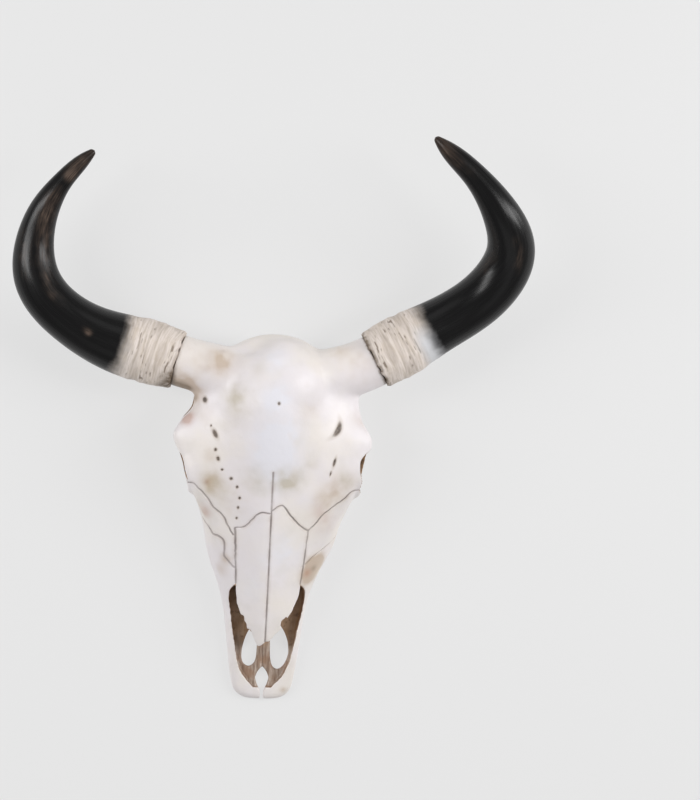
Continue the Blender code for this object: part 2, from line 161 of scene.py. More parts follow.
# The openings through the floor in plan, and half the gap at the tip of the muzzle.
FISSURES = (
    ((22, 98.9), (29, 87.2), (33.4, 74), (34.4, 63.4), (31.4, 51.4), (25, 41.9), (19.8, 39.6), (13, 44.3),
     (9.8, 60.1), (9.4, 80), (14, 94)),
    ((-18.4, 92.6), (-24, 79.2), (-27.5, 63.2), (-27.9, 55.3), (-25.7, 47.4), (-18.2, 42.9), (-11.1, 47.7),
     (-8.6, 55.7), (-7.8, 74), (-11, 87)),
)
FISSURE_TOP = 22.0
TIP_GAP = ((2.1, -BELOW), (2.1, 3), (2.9, 12), (6.6, 19.5), (9.2, 28), (6, 36), (0, 43.5))
# The scrolls of the turbinates, and the shape of their relief.
SCROLL_HEIGHT, SCROLL_PITCH, SCROLL_REACH = 1.5, 6.5, 9
RIDGE_HEIGHT, RIDGE_SIZE, RIDGE_STEEPNESS, RIDGE_SEED, RIDGE_STRETCH = 1.1, 7.0, 2.4, 31, (1, 0.6, 1)
SWIRLS = ((16, 90, 16), (35, 62, 20), (32, 122, 28), (36.5, 139, 38), (24, 106, 40), (29, 118, 44))

# The orbits and the temporal fossae behind them, on either side before it is skewed.
RIM_CENTRE, RIM_RADIUS, RIM_TUBE, RIM_TURN = (114.0, 311.0, 58.0), 35.0, 5.5, 11.0
ORBIT_CENTRE = {"right": (122.5, 309.0, 65.0), "left": (130.0, 306.0, 60.0)}
ORBIT_RADII = (24.0, 33.0, 38.0)
FOSSA_CENTRE, FOSSA_RADII = (120.0, 393.0, 59.0), (18.0, 20.5, 26.0)
RIM_SEGMENTS, RIM_TUBE_SEGMENTS = 64, 20
ORBIT_RAGGED, FOSSA_RAGGED, RAGGED_SIZE = 3.6, 1.6, 13.0
HOLLOW_SEED = 7
HOLLOW_EDGE, CAVITY_PAINT_EDGE = 0.9, 0.4  # how far the brown paint reaches past the hollows' edges
FAR, VERY_FAR = 9.0, 20.0  # stand for out of reach of a pit, and of a hollow

# The broad back of the head, and the knob of the poll on it.
HEAD_CENTRE, HEAD_RADII = (0.0, 415.0, 72.0), (80.0, 68.0, 40.0)
POLL_CENTRE, POLL_RADII = (11.0, 414.0, 88.0), (59.0, 62.0, 55.0)
OCCIPUT_CENTRE, OCCIPUT_RADII = (0.0, 394.0, 22.0), (88.0, 70.0, 70.0)

# Small openings for vessels, (x, y, half width, half length, turn in degrees).
PITS = (
    (-89.7, 393.4, 2.8, 3.6, 10), (-81, 360.3, 1.1, 1.5, 0), (-75.5, 350, 2.6, 6, 28),
    (-74.3, 329.7, 1.9, 2.2, 0), (-70.7, 318.2, 2.1, 3, 20), (-65.1, 304.3, 1.8, 1.5, 0),
    (-53.2, 293, 2.1, 2, 0), (-45.1, 282.4, 1.7, 2, 0), (-41.3, 268.2, 1.6, 2, 0),
    (-42.7, 255.8, 1.5, 1.9, 0), (-43.9, 241.9, 1.4, 1.6, 0), (3.2, 390.9, 1.8, 2, 0),
    (82, 360, 3.4, 10.5, -24), (79.5, 317.5, 1.7, 6, -14), (75.1, 303.1, 1, 3.4, -14),
)

COMMA_LENGTH, COMMA_BEND = 9.0, 0.7  # openings longer than this are curved

# Washes of paint as spots of (x, y, z, radius, strength): stains, and last a painted highlight.
TAN = (
    (28.4, 13.1, 12, 5, 0.8), (-72.4, 446.3, 117, 19, 1.1), (-77, 286, 97.5, 13, 1), (82, 281, 96, 21, 0.62),
    (67, 268, 95, 13, 0.5), (-113, 407, 93, 18, 1.4), (-121, 412, 87, 17, 1.6), (-105, 392, 89, 12, 0.6),
    (-110, 440, 108, 34, 0.22), (112, 446, 108, 36, 0.25), (-70, 440, 112, 30, 0.15), (-133, 415, 84, 15, 1),
    (60, 177, 55, 15, 1.4), (66, 190, 56, 11, 1), (46.8, 383, 126, 18, 0.24), (-56, 187, 62, 9, 0.6),
    (104, 256, 45, 14, 0.9), (66, 184, 50, 12, 0.9), (85, 461, 102, 15, 0.35), (112, 371, 91, 14, 0.35),
    (-89, 375, 103, 13, 0.3), (-122, 412, 62, 22, 0.9), (118, 430, 50, 20, 0.6), (56, 173, 55, 14, 1),
    (51, 163, 52, 10, 0.8), (95, 215, 40, 14, 0.5), (-88, 262, 70, 12, 0.6), (-48, 270, 100, 34, 0.16),
    (-81, 322, 103, 10, 0.35), (-60, 172, 52, 10, 0.5),
)
OLIVE = ((-53, 398, 125, 20, 0.9), (21, 293, 113, 18, 1.15), (-82, 289, 97, 19, 0.65),
         (-20, 294, 114, 19, 0.5), (50, 313, 111, 14, 0.3), (97, 294, 95, 15, 0.6),
         (-24.5, 434, 136, 12, 0.35), (-50, 370, 118, 22, 0.25), (-60, 278, 95, 16, 0.35))
RUSSET = ((-111, 368, 93, 11, 1), (-84, 288, 96, 6, 0.3), (-86, 250, 78, 12, 0.6), (52, 172, 56, 8, 0.8),
          (-105, 300, 60, 14, 0.35), (70, 240, 78, 20, 0.25), (60, 255, 88, 16, 0.25))
UMBER = ((-113, 405, 90, 10, 0.9), (-121, 411, 88, 11, 1), (-106, 396, 87, 7, 0.7), (-131, 413, 84, 9, 1.1),
         (-68, 461, 104, 6, 0.5), (60, 178, 54, 6, 0.4), (-84, 287, 96, 4, 0.2), (-126, 413, 78, 12, 1.1),
         (-80, 254, 74, 5, 0.35))
# A painted highlight, not a stain: pale bluish spots down the middle of the forehead and face, where the
# light shines on the gloss.
PAINTED_HIGHLIGHT = ((-3, 448, 136, 24, 0.5), (0, 397, 142, 24, 0.8), (1, 346, 133, 36, 1), (3, 308, 120, 34, 1),
        (15, 200, 85, 34, 0.5), (-20, 150, 70, 26, 0.3), (-92, 425, 118, 14, 0.4))
# What is washed on the bone, in order: name, spots, seed, spread, tint and the most it covers. The first is
# the painted highlight; the rest are stains.
WASHES = (
    ("painted_highlight", PAINTED_HIGHLIGHT, 54, 0.74, (0.79, 0.79, 0.85), 0.75),
    ("tan", TAN, 51, 0.9, (0.46, 0.33, 0.21), 0.66),
    ("olive", OLIVE, 52, 0.9, (0.42, 0.355, 0.225), 0.62),
    ("russet", RUSSET, 53, 0.74, (0.47, 0.26, 0.18), 0.6),
    ("umber", UMBER, 59, 0.74, (0.20, 0.135, 0.08), 0.8),
)
# Streaks of brown along the horns, each a line of (x, y, z, radius, strength): partly brown paint, partly
# painted highlights on the curves.
HORN_STREAKS_AND_HIGHLIGHTS = (
    ((-241, 475, 112, 8, 0.7), (-246, 480, 112, 8, 0.3)),
    ((-272, 508, 116, 12, 0.15), (-286, 524, 117, 15, 0.5), (-294, 545, 118, 17, 0.55),
     (-299, 575, 117, 18, 0.55), (-300, 606, 121, 18, 0.85), (-295, 636, 129, 16, 0.8),
     (-284, 655, 134, 13, 0.3)),
    ((-270, 673, 134, 15, 0.9), (-256, 690, 134, 12, 1)),
    ((-318, 545, 116, 15, 0.35), (-326, 572, 118, 17, 0.5), (-326, 600, 116, 15, 0.4)),
    ((202, 717, 176, 11, 1), (218, 701, 176, 13, 0.5), (240, 688, 172, 15, 0.2)),
    ((261, 568, 121, 14, 0.3), (272, 584, 131, 14, 0.5), (278, 598, 140, 12, 0.2)),
    ((304, 568, 140, 13, 0.2), (304, 590, 150, 13, 0.4), (297, 611, 160, 12, 0.25)),
)

STREAKED_SPAN, STREAKED_HEIGHTS = (62, 88), (13, 21)  # where the muzzle's streaked paint ends, along and up
UNPAINTED_DEPTH = 3.2  # how thick the nasal bones' edges are without brown
NASAL_PAINT_SPAN = (-0.17, -0.19)  # in the frame's metres: where the orbits' brown turns into the cavity's
BONE_PINK, BONE_CREAM, BLACK = (0.80, 0.755, 0.77), (0.82, 0.765, 0.72), (0.0045, 0.0043, 0.0045)

# Horn paths, (x, y, z, radius): the first point is where the horn leaves the bone.
HORN_PATHS = {
    "right": ((131, 452, 76, 39), (166, 472, 80, 40.5), (201, 493, 84, 36.5), (266, 537, 92, 34),
              (297, 593, 119, 31.5), (280, 640, 147, 24.5), (240, 689, 161, 15.8), (199, 724, 168, 8.2),
              (189, 733, 169, 3.2)),
    "left": ((-125, 444, 75, 38), (-163, 454, 72, 41.5), (-197, 462, 73, 40), (-260, 489, 81, 33),
             (-309, 542, 91, 29.5), (-312, 597, 99, 23.5), (-297, 639, 114, 17.4), (-278, 667, 122, 12.6),
             (-250, 696, 127, 7.6), (-240, 705, 129, 3.5)),
}
# How much thinner the core is than the horn, how far it reaches into it and starts back from it, and how far
# the bone is cleared round the horn.
CORE_STEP, CORE_INSIDE, CORE_NECK, SOCKET_LENGTH = 4.5, 8.0, 12.0, 40.0
CORE_ROOT, CORE_KNEE = (0.0, 412.0, 78.0, 38.0), (84.0, 433.0, 77.0, 35.5)
CREAM_LENGTH = {"right": 76.0, "left": 74.0}  # from the base to where the black starts
AIRBRUSH = {"right": 1.0, "left": 0.1}  # how white the cream is just before the black
# At the horns' roots the brown on the base's broken edge and on the bone beside it is partly grime, partly
# painted shade in the join.
GRIME_AND_SHADE = {"right": 0.85, "left": 0.05}  # the least strength of the brown in the broken edge of the base
COLLAR = {"right": (3.2, 0.9), "left": (5.0, 0.18)}  # the brown edge at the horn: width and least strength
COLLAR_ROOM, COLLAR_CORE = 12, 0.3  # how far it is looked for from the base, and its solid share
BELOW_SPAN = (0.1, 0.9)  # how much a point has to face the muzzle to count as below a horn
HORN_KNOTS, HORN_STEP, HORN_SEGMENTS = 22, 1.15, 168
HORN_AROUND = 34.0  # the radius at which the noise on a horn is laid out
HORN_TIP, HORN_TUCK = 3.2, 2.0  # how long the rounded tip is, and how far the base is drawn in
# Along the horn from its base: where it is drawn in, where it grows uneven and where its grime and painted
# shade end.
TUCK_SPAN, HORN_UNEVEN_SPAN, GRIME_SPAN, GRIME_REACH = (-1, 2.5), (4, 20), (0.5, 5.5), (4, 22)
GRIME_RADIUS = 30
AIRBRUSH_SPAN = (-0.5, 0.35)  # how much a point of the horn has to face the muzzle to be sprayed
# How strong the sheath's patterns have to be for a groove or slit, and how much each counts.
WRAP_SPAN, STRAND_SPAN, SLIT_SPAN = (0.05, 0.5), (0.15, 0.65), (0.55, 0.85)
WRAPS, STRANDS, GROOVES, SLITS, CRACK_DEPTH = 0.6, 0.35, 0.7, 0.9, 0.8
# How far before and after its end the sheath fades, and how much earlier it ends where it is sprayed.
SHEATH_FADE, SHEATH_OVER, SPRAYED_BACK = 9, 4, 6
SLANT, SLANT_TURN, SLANT_SIZE = 3.0, 0.6, (16, 12)  # how far the wraps slant, which way, and their waves
UNEVEN_SIZE, UNEVEN_RADIUS = (22, 60), 30  # of the horn's own unevenness, which fades where it is thinner
TIP_LEAST, BASE_CRACK = 0.004, 0.3

# Remeshing, (voxel, rounds of smoothing), and what is smoothed again beside the forehead.
FIRST_MELT, LAST_MELT = (1.6, 34), (1.35, 3)
BROW_Y, BROW_X, BROW_Z, BROW_ROUNDS, BROW_LEVELS = (335, 375), (88, 112), (50, 75), 170, 10
# The heights over which the unevenness of the bone, and the relief in the cavity, start.
RELIEF_HEIGHTS, CAVITY_HEIGHTS = (1, 12), (9, 14)
# How a pit fades outward in its half sizes, and the heights below which no pit or cavity is counted.
PIT_SPAN, PIT_LOWEST, CAVITY_LOWEST = (0.3, 1.15), 5, 2.5
RIM_SPAN, LIP_FADE = (0.5, -1), 3  # where the cavity's own relief starts inside its rim and under the bones
LINE_STEP, LINE_LIMIT = 0.5, 12.0  # between the points of a suture, and the furthest distance kept
# How far from the sutures the mesh is finer, how deep they and the pits are, and how uneven the bone is.
REFINED, SUTURE_DEPTH, SUTURE_WIDTH, PIT_DEPTH = 3.0, 0.9, 1.0, 2.6
SWELLS = ((0.45, 34.0, 1), (0.22, 13.0, 2), (0.07, 4.5, 3))  # (height, size, seed)
# What is uneven, as (height, size, seed), and the sheath's patterns, as (height, width, length, seed).
UNEVEN = {"nasal_underside": (1.2, 5.0, 41), "streaked": (6, 9.0, 44), "collar": (1.6, 4.0, 55),
          "grime": (2.4, 5.0, 56), "grime_reach": (6, 8.0, 57), "horn_streaks": (0.5, 8.0, 58),
          "horn_slant": (1.3, 1.0, 68), "horn": (0.5, 1.0, 66), "fray": (1.4, 6.0, 67)}
SHEATH = {"wraps": (1, 36, 5.2, 61), "strands": (1, 22, 2.2, 62), "slits": (1, 8, 2.1, 63),
          "gaps": (0.4, 30, 12, 64), "edge": (3, 30, 6, 65), "bulges": (0.7, 28, 8, 66)}
WASH_UNEVEN, WASH_STRENGTH, WASH_MOST = (0.45, 9.0), 0.96, 1.8
STREAK_POINTS, STREAK_SPREAD = 12, 0.7  # per spot of a horn's streak, and how soft they are
NOISE_SHIFT = 50  # moves the places at which the noise of the drawn edges is read
# How the drawn edges are shaken: points, step, amount, size, and the seed on the right and on the left.
EDGES = {
    "nasal": (NASAL_EDGE, 1.2, 0.6, 3.5, (5, 5)),
    "nasal_top": (NASAL_TOP, 1.5, 0.6, 4.0, (9, 9)),
    "frontal": (FRONTAL_EDGE, 1.5, 0.5, 5.0, (12, 11)),
    "cavity": (CAVITY_EDGE, 1.5, 0.5, 5.0, (3, 3)),
}

making, shown = bpy.data.collections.new("making"), bpy.context.scene.collection
shown.children.link(making)


def rail(knots, at):
    """A cubic through (place, value) knots that never overshoots them, read at one place or several."""
    x, y = np.array(knots, float).T
    step = np.diff(x)
    slope = np.diff(y) / step
    before, after = slope[:-1], slope[1:]
    same_way = before * after > 0
    mean = 2 * before * after / np.where(same_way, before + after, 1)
    tangent = np.concatenate(([slope[0]], np.where(same_way, mean, 0), [slope[-1]]))
    at = np.clip(at, x[0], x[-1])
    i = np.clip(np.searchsorted(x, at, side="right") - 1, 0, len(step) - 1)
    t = (at - x[i]) / step[i]
    level = y[i] * (1 + 2 * t) * (1 - t) ** 2 + y[i + 1] * t * t * (3 - 2 * t)
    lean = step[i] * (tangent[i] * t * (1 - t) ** 2 - tangent[i + 1] * t * t * (1 - t))
    return level + lean


def steps(points):
    """The lengths between neighbouring rows of numbers, which start with x, y and z."""
    return np.linalg.norm(np.diff(np.array(points, float)[:, :3], axis=0), axis=1)


def chord(points):
    """How far along a line each of its rows of numbers is."""
    return np.concatenate(([0], np.cumsum(steps(points))))


def unit(rows):
    return rows / np.linalg.norm(rows, axis=1)[:, None]


def through(points, count):
    """Points spaced evenly by chord along a smooth curve through rows of numbers."""
    rows, along = np.array(points, float), chord(points)
    at = np.linspace(0, along[-1], count)
    return np.stack([rail(np.stack((along, column), 1), at) for column in rows.T], 1)


def spline(points, count):
    """Points spaced evenly by chord along the natural cubic through rows of numbers."""
    rows, along = np.array(points, float), chord(points)
    step = np.diff(along)[:, None]
    slope = np.diff(rows, axis=0) / step
    system = np.eye(len(rows))
    for i in range(1, len(rows) - 1):
        system[i, i - 1:i + 2] = step[i - 1, 0], 2 * (step[i - 1, 0] + step[i, 0]), step[i, 0]
    bend = np.linalg.solve(system, np.pad(6 * np.diff(slope, axis=0), ((1, 1), (0, 0))))
    at = np.linspace(0, along[-1], count)
    i = np.clip(np.searchsorted(along, at, side="right") - 1, 0, len(step) - 1)
    t, h = (at - along[i])[:, None], step[i]
    curve = slope[i] - h * (2 * bend[i] + bend[i + 1]) / 6
    return rows[i] + t * (curve + t * (bend[i] / 2 + t * (bend[i + 1] - bend[i]) / (6 * h)))


def noise(points, size, seed):
    """Smooth noise from -1 to 1 at each point, with features of about the given size."""
    place = np.asarray(points, float) / size
    cell = np.floor(place).astype(np.int64)
    t = place - cell
    t = t * t * (3 - 2 * t)
    total = np.zeros(len(place))
    for corner in itertools.product((0, 1), repeat=3):
        x, y, z = (cell + corner).T
        mixed = (x * HASH[0]) ^ (y * HASH[1]) ^ (z * HASH[2]) ^ (seed * HASH[3])
        for shift, factor in HASH_ROUNDS:
            mixed = ((mixed ^ (mixed >> shift)) * factor) & 0xFFFFFFFF
        value = ((mixed >> 8) & 0xFFFF) / HASH_HALF - 1
        total += value * np.prod(np.where(corner, t, 1 - t), axis=1)
    return total


def uneven(kind, points):
    """One of the kinds of unevenness at each point."""
    height, size, seed = UNEVEN[kind]
    return height * noise(points, size, seed)


def ease(low, high, value):
    """0 below low, 1 above high and smooth in between."""
    t = np.clip((value - low) / (high - low), 0, 1)
    return t * t * (3 - 2 * t)


def new_object(name, data, collection=making):
    obj = bpy.data.objects.new(name, data)
    collection.objects.link(obj)
    return obj


def from_bmesh(name, bm):
    bmesh.ops.recalc_face_normals(bm, faces=bm.faces)
    mesh = bpy.data.meshes.new(name)
    bm.to_mesh(mesh)
    bm.free()
    return new_object(name, mesh)


def skin(bm, loops, closed=False):
    """Faces between loops of equally many points, joined up if closed. Gives the rings of vertices."""
    rings = [[bm.verts.new(p) for p in loop] for loop in loops]
    count = len(rings[0])
    for a, b in zip(rings, rings[1:] + rings[:1] * closed):
        for k in range(count):
            bm.faces.new((a[k], a[(k + 1) % count], b[(k + 1) % count], b[k]))
    return rings


def loft(name, loops):
    """A closed solid through loops of equally many (x, y, z) points, with its ends capped."""
    bm = bmesh.new()
    rings = skin(bm, loops)
    caps = [bm.faces.new(rings[0]), bm.faces.new(rings[-1])]
    bmesh.ops.triangulate(bm, faces=caps)
    return from_bmesh(name, bm)


def ball(name, centre, radii, ragged=0.0, seed=0):
    """An ellipsoid, roughened by ragged millimetres."""
    bm = bmesh.new()
    bmesh.ops.create_uvsphere(bm, u_segments=BALL_SEGMENTS, v_segments=BALL_RINGS, radius=1)
    out = np.array([v.co for v in bm.verts])
    reach = roughness(out, radii, ragged, seed)
    for vert, place in zip(bm.verts, out * reach[:, None] * np.array(radii) + np.array(centre)):
        vert.co = place
    return from_bmesh(name, bm)


def roughness(out, radii, ragged, seed):
    """How far a roughened ellipsoid reaches in each unit direction, as a share of its radii."""
    return 1 + ragged * noise(out * np.array(radii), RAGGED_SIZE, seed) / np.mean(radii)


def side_hollows(name, side):
    """The orbit and the fossa on one side: centre, radii and roughness."""
    for (x, y, z), radii, ragged in ((ORBIT_CENTRE[name], ORBIT_RADII, ORBIT_RAGGED),
                                     (FOSSA_CENTRE, FOSSA_RADII, FOSSA_RAGGED)):
        yield (skewed(side * x, y), y, z), radii, ragged


def box(name, low, high):
    bm = bmesh.new()
    bmesh.ops.create_cube(bm, size=1)
    size, middle = Vector(high) - Vector(low), (Vector(high) + Vector(low)) / 2
    bmesh.ops.transform(bm, matrix=Matrix.Translation(middle) @ Matrix.Diagonal((*size, 1)), verts=bm.verts)
    return from_bmesh(name, bm)


def column(name, outline, low=-BELOW, high=CAST_TOP):
    """An upright prism over an outline of (x, y) points."""
    return loft(name, [[(x, y, z) for x, y in outline] for z in (low, high)])


def rings_along(path, segments):
    """Centres, the two directions across, and radii of rings along a smooth path."""
    centres, radii = path[:, :3], path[:, 3]
    ahead = unit(np.gradient(centres, axis=0))
    across = unit(np.cross(ahead, (0.0, 0.0, 1.0)))
    upward = np.cross(across, ahead)
    turn = np.arange(segments) * math.tau / segments
    spokes = across[:, None] * np.cos(turn)[None, :, None] + upward[:, None] * np.sin(turn)[None, :, None]
    return centres, radii, spokes, turn


def tube(name, path, segments):
    """A round closed tube through (x, y, z, radius) points."""
    centres, radii, spokes, _ = rings_along(np.array(path, float), segments)
    return loft(name, centres[:, None] + spokes * radii[:, None, None])


def settle(obj):
    """Applies the object's modifiers."""
    bpy.context.view_layer.update()
    mesh = bpy.data.meshes.new_from_object(obj.evaluated_get(bpy.context.evaluated_depsgraph_get()))
    obj.modifiers.clear()
    obj.data = mesh
    return obj


def boolean(obj, operation, *others):
    for other in others:
        modifier = obj.modifiers.new(operation, "BOOLEAN")
        modifier.operation = operation
        modifier.solver = "MANIFOLD"
        modifier.object = other
        settle(obj)
    return obj


def part_of(whole, name, operation, *others):
    return boolean(new_object(name, whole.data.copy()), operation, *others)


def smoothing(obj, rounds, group=""):
    blend = obj.modifiers.new("blend", "SMOOTH")
    blend.factor = 0.5
    blend.iterations = rounds
    blend.vertex_group = group


def melted(obj, voxel, rounds):
    """Remeshed evenly and smoothed."""
    melt = obj.modifiers.new("melt", "REMESH")
    melt.mode = "VOXEL"
    melt.voxel_size = voxel
    smoothing(obj, rounds)
    return settle(obj)


def read(values, key):
    """A vector of each of a mesh's values, as rows."""
    rows = np.empty(len(values) * 3, np.float32)
    values.foreach_get(key, rows)
    return rows.reshape(-1, 3).astype(float)


def coordinates(mesh):
    return read(mesh.vertices, "co")


def skewed(x, y):
    """Where a place x across the face's side sits at y."""
    return x + float(rail(SKEW, y))


def face_section(y, side):
    """The rails at y on one side, from the midline to the back: (distance across, z)."""
    shoulder_z = float(rail(SHOULDER_Z, y))
    skew = side * skewed(0.0, y)
    return [
        (0.0, float(rail(MIDLINE_Z, y))),
        (float(rail(INNER_X, y)), float(rail(INNER_Z, y))),
        (float(rail(SHOULDER_X, y)) + skew / 2, shoulder_z),
        (float(rail(HALF_WIDTH, y)) + skew, WALL_SHARE * shoulder_z),
        (float(rail(BACK_HALF, y)) + skew, -BELOW),
    ]


def face_loop(y):
    """The whole section at y as a smooth loop, closed along the back."""
    left = [(-x, 0.0, z) for x, z in reversed(face_section(y, -1)[1:])]
    path = through(left + [(x, 0.0, z) for x, z in face_section(y, 1)], 2 * FACE_SAMPLES + 1)
    return [(x, y, z) for x, _, z in path]


def orbital_rim(side):
    """A torus standing on the side of the skull, turned a little to the front."""
    profile = [math.tau * k / RIM_TUBE_SEGMENTS for k in range(RIM_TUBE_SEGMENTS)]
    loops = []
    for turn in (math.tau * j / RIM_SEGMENTS for j in range(RIM_SEGMENTS)):
        reach = [RIM_RADIUS + RIM_TUBE * math.cos(k) for k in profile]
        loops.append([(RIM_TUBE * math.sin(k), r * math.cos(turn), r * math.sin(turn))
                      for k, r in zip(profile, reach)])
    bm = bmesh.new()
    skin(bm, loops, closed=True)
    x, y, z = RIM_CENTRE
    turned = Matrix.Rotation(math.radians(-side * RIM_TURN), 4, "Z")
    place = Matrix.Translation((skewed(side * x, y), y, z))
    bmesh.ops.transform(bm, matrix=place @ turned, verts=bm.verts)
    return from_bmesh("rim", bm)


def horn_base(name):
    """Where a horn leaves the bone, the way it leaves, and its radius there."""
    first, second = spline(HORN_PATHS[name], HORN_KNOTS)[:2]
    base = Vector(first[:3])
    return base, (Vector(second[:3]) - base).normalized(), float(first[3])


def horn_core(name, side):
    """The bony core from the middle of the poll into the horn's base."""
    base, onward, radius = horn_base(name)
    x, y, z, knee_radius = CORE_KNEE
    neck = [(*(base + onward * reach), radius - CORE_STEP) for reach in (-CORE_NECK, CORE_INSIDE)]
    path = through((CORE_ROOT, (side * x, y, z, knee_radius), *neck), CORE_POINTS)
    return tube("core", path, CORE_SEGMENTS)


def solid_skull():
    """Face, poll, occiput, orbital rims and horn cores melted into one body, and cut flat at the back."""
    places = np.concatenate([np.linspace(*span) for span in FACE_SPANS])
    forms = [
        loft("face", [face_loop(float(y)) for y in places]),
        ball("head", HEAD_CENTRE, HEAD_RADII),
        ball("poll", POLL_CENTRE, POLL_RADII),
        ball("occiput", OCCIPUT_CENTRE, OCCIPUT_RADII),
    ]
    for name, side in SIDES:
        forms.append(orbital_rim(side))
        forms.append(horn_core(name, side))
    bm = bmesh.new()
    for form in forms:
        bm.from_mesh(form.data)
        bpy.data.objects.remove(form)
    body = melted(from_bmesh("skull", bm), *FIRST_MELT)
    soften_brow(body)
    return boolean(body, "INTERSECT", box("above_back", *ABOVE_BACK))


def soften_brow(body):
    """Smooths the crease between the forehead and the roots of the horns, and leaves the rest."""
    x, y, z = coordinates(body.data).T
    weight = ease(*BROW_Y, y) * (1 - ease(*BROW_X, np.abs(x))) * ease(*BROW_Z, z)
    group = body.vertex_groups.new(name="brow")
    levels = np.round(weight * BROW_LEVELS).astype(int)
    for level in range(1, BROW_LEVELS + 1):
        group.add(np.flatnonzero(levels == level).tolist(), level / BROW_LEVELS, "REPLACE")
    smoothing(body, BROW_ROUNDS, group.name)
    settle(body)


def ragged_line(points, step, amount, size, seed):
    """A plan line resampled at even steps, and shaken sideways."""
    flat = np.array([(*p[:2], 0.0) for p in points], float)
    path = through(flat, max(2, int(steps(flat).sum() / step)))
    ahead = unit(np.gradient(path, axis=0))
    sideways = np.stack((-ahead[:, 1], ahead[:, 0]), 1)
    fade = ease(0, 3 * step, np.minimum(np.arange(len(path)), np.arange(len(path))[::-1]) * step)
    shaken = path[:, :2] + sideways * (amount * fade * noise(path + NOISE_SHIFT, size, seed))[:, None]
    return [tuple(p) for p in shaken]


def drawn(kind, name):
    """One of the drawn edges on one side, shaken a little."""
    points, step, amount, size, seeds = EDGES[kind]
    return ragged_line(points[name], step, amount, size, seeds[name == "left"])


def widened(outline, amount):
    """A plan outline moved outward all round."""
    flat = np.array(outline, float)
    ahead = np.roll(flat, -1, 0) - np.roll(flat, 1, 0)
    ahead /= np.linalg.norm(ahead, axis=1)[:, None] + TINY
    turned = np.sum(flat[:, 0] * np.roll(flat[:, 1], -1) - np.roll(flat[:, 0], -1) * flat[:, 1]) > 0
    out = np.stack((ahead[:, 1], -ahead[:, 0]), 1) * (1 if turned else -1)
    return [tuple(p) for p in flat + out * amount]


def under_face(depth):
    """A solid with the face's own shape, sunk by a depth."""
    return loft("under_face", [[(x, py, z - depth) for x, py, z in face_loop(float(y))]
                               for y in np.linspace(*UNDER_FACE)])


def nasal_half(name, side, spare):
    """One nasal bone in plan, from its tip round its outer edge to the midline, with some width to spare."""
    edge = np.array(drawn("nasal", name))
    tip = 1 - ease(*NASAL_TIP_SPAN, edge[:, 1])
    edge[:, 0] += side * spare * (1 - tip) * (1 - ease(*NASAL_SPARE_SPAN, edge[:, 1]))
    edge[:, 1] -= spare * tip
    return [(0.0, edge[0][1])] + [tuple(p) for p in edge] + drawn("nasal_top", name)[1:]


def nasal_room(sides, thickness, spare=0.0, grow=0.0):
    """The room of one nasal bone or of both: everything above a depth under the face."""
    halves = [nasal_half(name, side, spare) for name, side in SIDES if side in sides]
    if len(sides) == 1:
        shift = sides[0] * CUT / 2
        outline = [(x if abs(x) > CUT / 2 else shift, y) for x, y in halves[0]]
    else:
        outline = halves[0] + halves[1][::-1]
    if grow:
        outline = widened(outline, grow)
    return boolean(column("nasal_room", outline, 0.0), "DIFFERENCE", under_face(thickness + grow))


def cavity_solid():
    """The hollow of the nasal cavity, round its septum and turbinates and under the nasal bones' tips."""
    halves = []
    for name, side in SIDES:
        edge = np.array(sorted((y, abs(x)) for x, y in NASAL_EDGE[name]), float)
        span = np.linspace(*TURBINATE_SPAN, TURBINATE_POINTS)[::-1]
        across = [float(np.interp(y, edge[:, 0], edge[:, 1])) - TURBINATE_INSET for y in span]
        wall = [(side * x, y) for x, y in zip(across, span)]
        inner = [(side * SEPTUM_HALF, TURBINATE_SPAN[0] - TURBINATE_INSET), (side * SEPTUM_HALF, SEPTUM_END)]
        halves.append(drawn("cavity", name) + wall + inner)
    cavity = column("cavity", halves[0] + halves[1][::-1], CAVITY_FLOOR)
    return boolean(cavity, "DIFFERENCE", nasal_room((1, -1), NASAL_LIP))


def through_openings():
    """The two oval fissures and the gap at the tip of the muzzle."""
    made = []
    for outline in FISSURES:
        rounded = through([(x, y, 0) for x, y in outline + outline[:1]], FISSURE_POINTS)
        made.append(column("fissure", [(x, y) for x, y, _ in rounded[:-1]], high=FISSURE_TOP))
    right = list(TIP_GAP)
    made.append(column("tip_gap", right + [(-x, y) for x, y in reversed(right[:-1])]))
    return made


def lacrimal_facing(side):
    x, y, z = LACRIMAL_FACING
    return Vector((side * x, y, z))


def smooth_edge(points):
    return through(points, int(steps(points).sum() / LACRIMAL_STEP))


def lacrimal_room(name, side, grow=0.0):
    """The room of one lacrimal bone: its lower edge closed behind the suture, reaching along its facing."""
    facing = lacrimal_facing(side)
    behind = [Vector((side * x, y, z)) for x, y, z in LACRIMAL_BEHIND]
    edge = behind + [Vector(p) for p in smooth_edge(LACRIMAL_EDGE[name])]
    grown = []
    for before, point, after in zip(edge[-1:] + edge[:-1], edge, edge[1:] + edge[:1]):
        outward = facing.cross(after - before) * side
        grown.append(point + outward.normalized() * grow)
    return loft("lacrimal_room", [[point + facing * depth for point in grown]
                                  for depth in (-LACRIMAL_THICKNESS - grow, LACRIMAL_ABOVE)])


def surface_lines(tree):
    """The sutures on the bone, each as its fineness and a line of points."""
    def dropped(line, way):
        hits = [tree.ray_cast(place, way)[0] for place in line]
        return [hit for hit in hits if hit is not None]

    def down(line):
        return dropped([Vector((x, y, CAST_TOP)) for x, y in line], Vector((0, 0, -1)))

    lines = [(MIDLINE_FINENESS, down([(0.0, y) for y in np.arange(*MIDLINE_SUTURE, MIDLINE_STEP)]))]
    for name, side in SIDES:
        beside_nasal, above_nasal, frontal, lacrimal = FINENESS[name]
        lines.append((beside_nasal, down([p for p in drawn("nasal", name) if p[1] > NASAL_FREE])))
        lines.append((above_nasal, down(drawn("nasal_top", name))))
        lines.append((frontal, down(drawn("frontal", name))))
        facing = lacrimal_facing(side)
        edge = [Vector(p) + facing * SUTURE_FROM for p in smooth_edge(LACRIMAL_EDGE[name])]
        lines.append((lacrimal, dropped(edge, -facing)))
    return lines


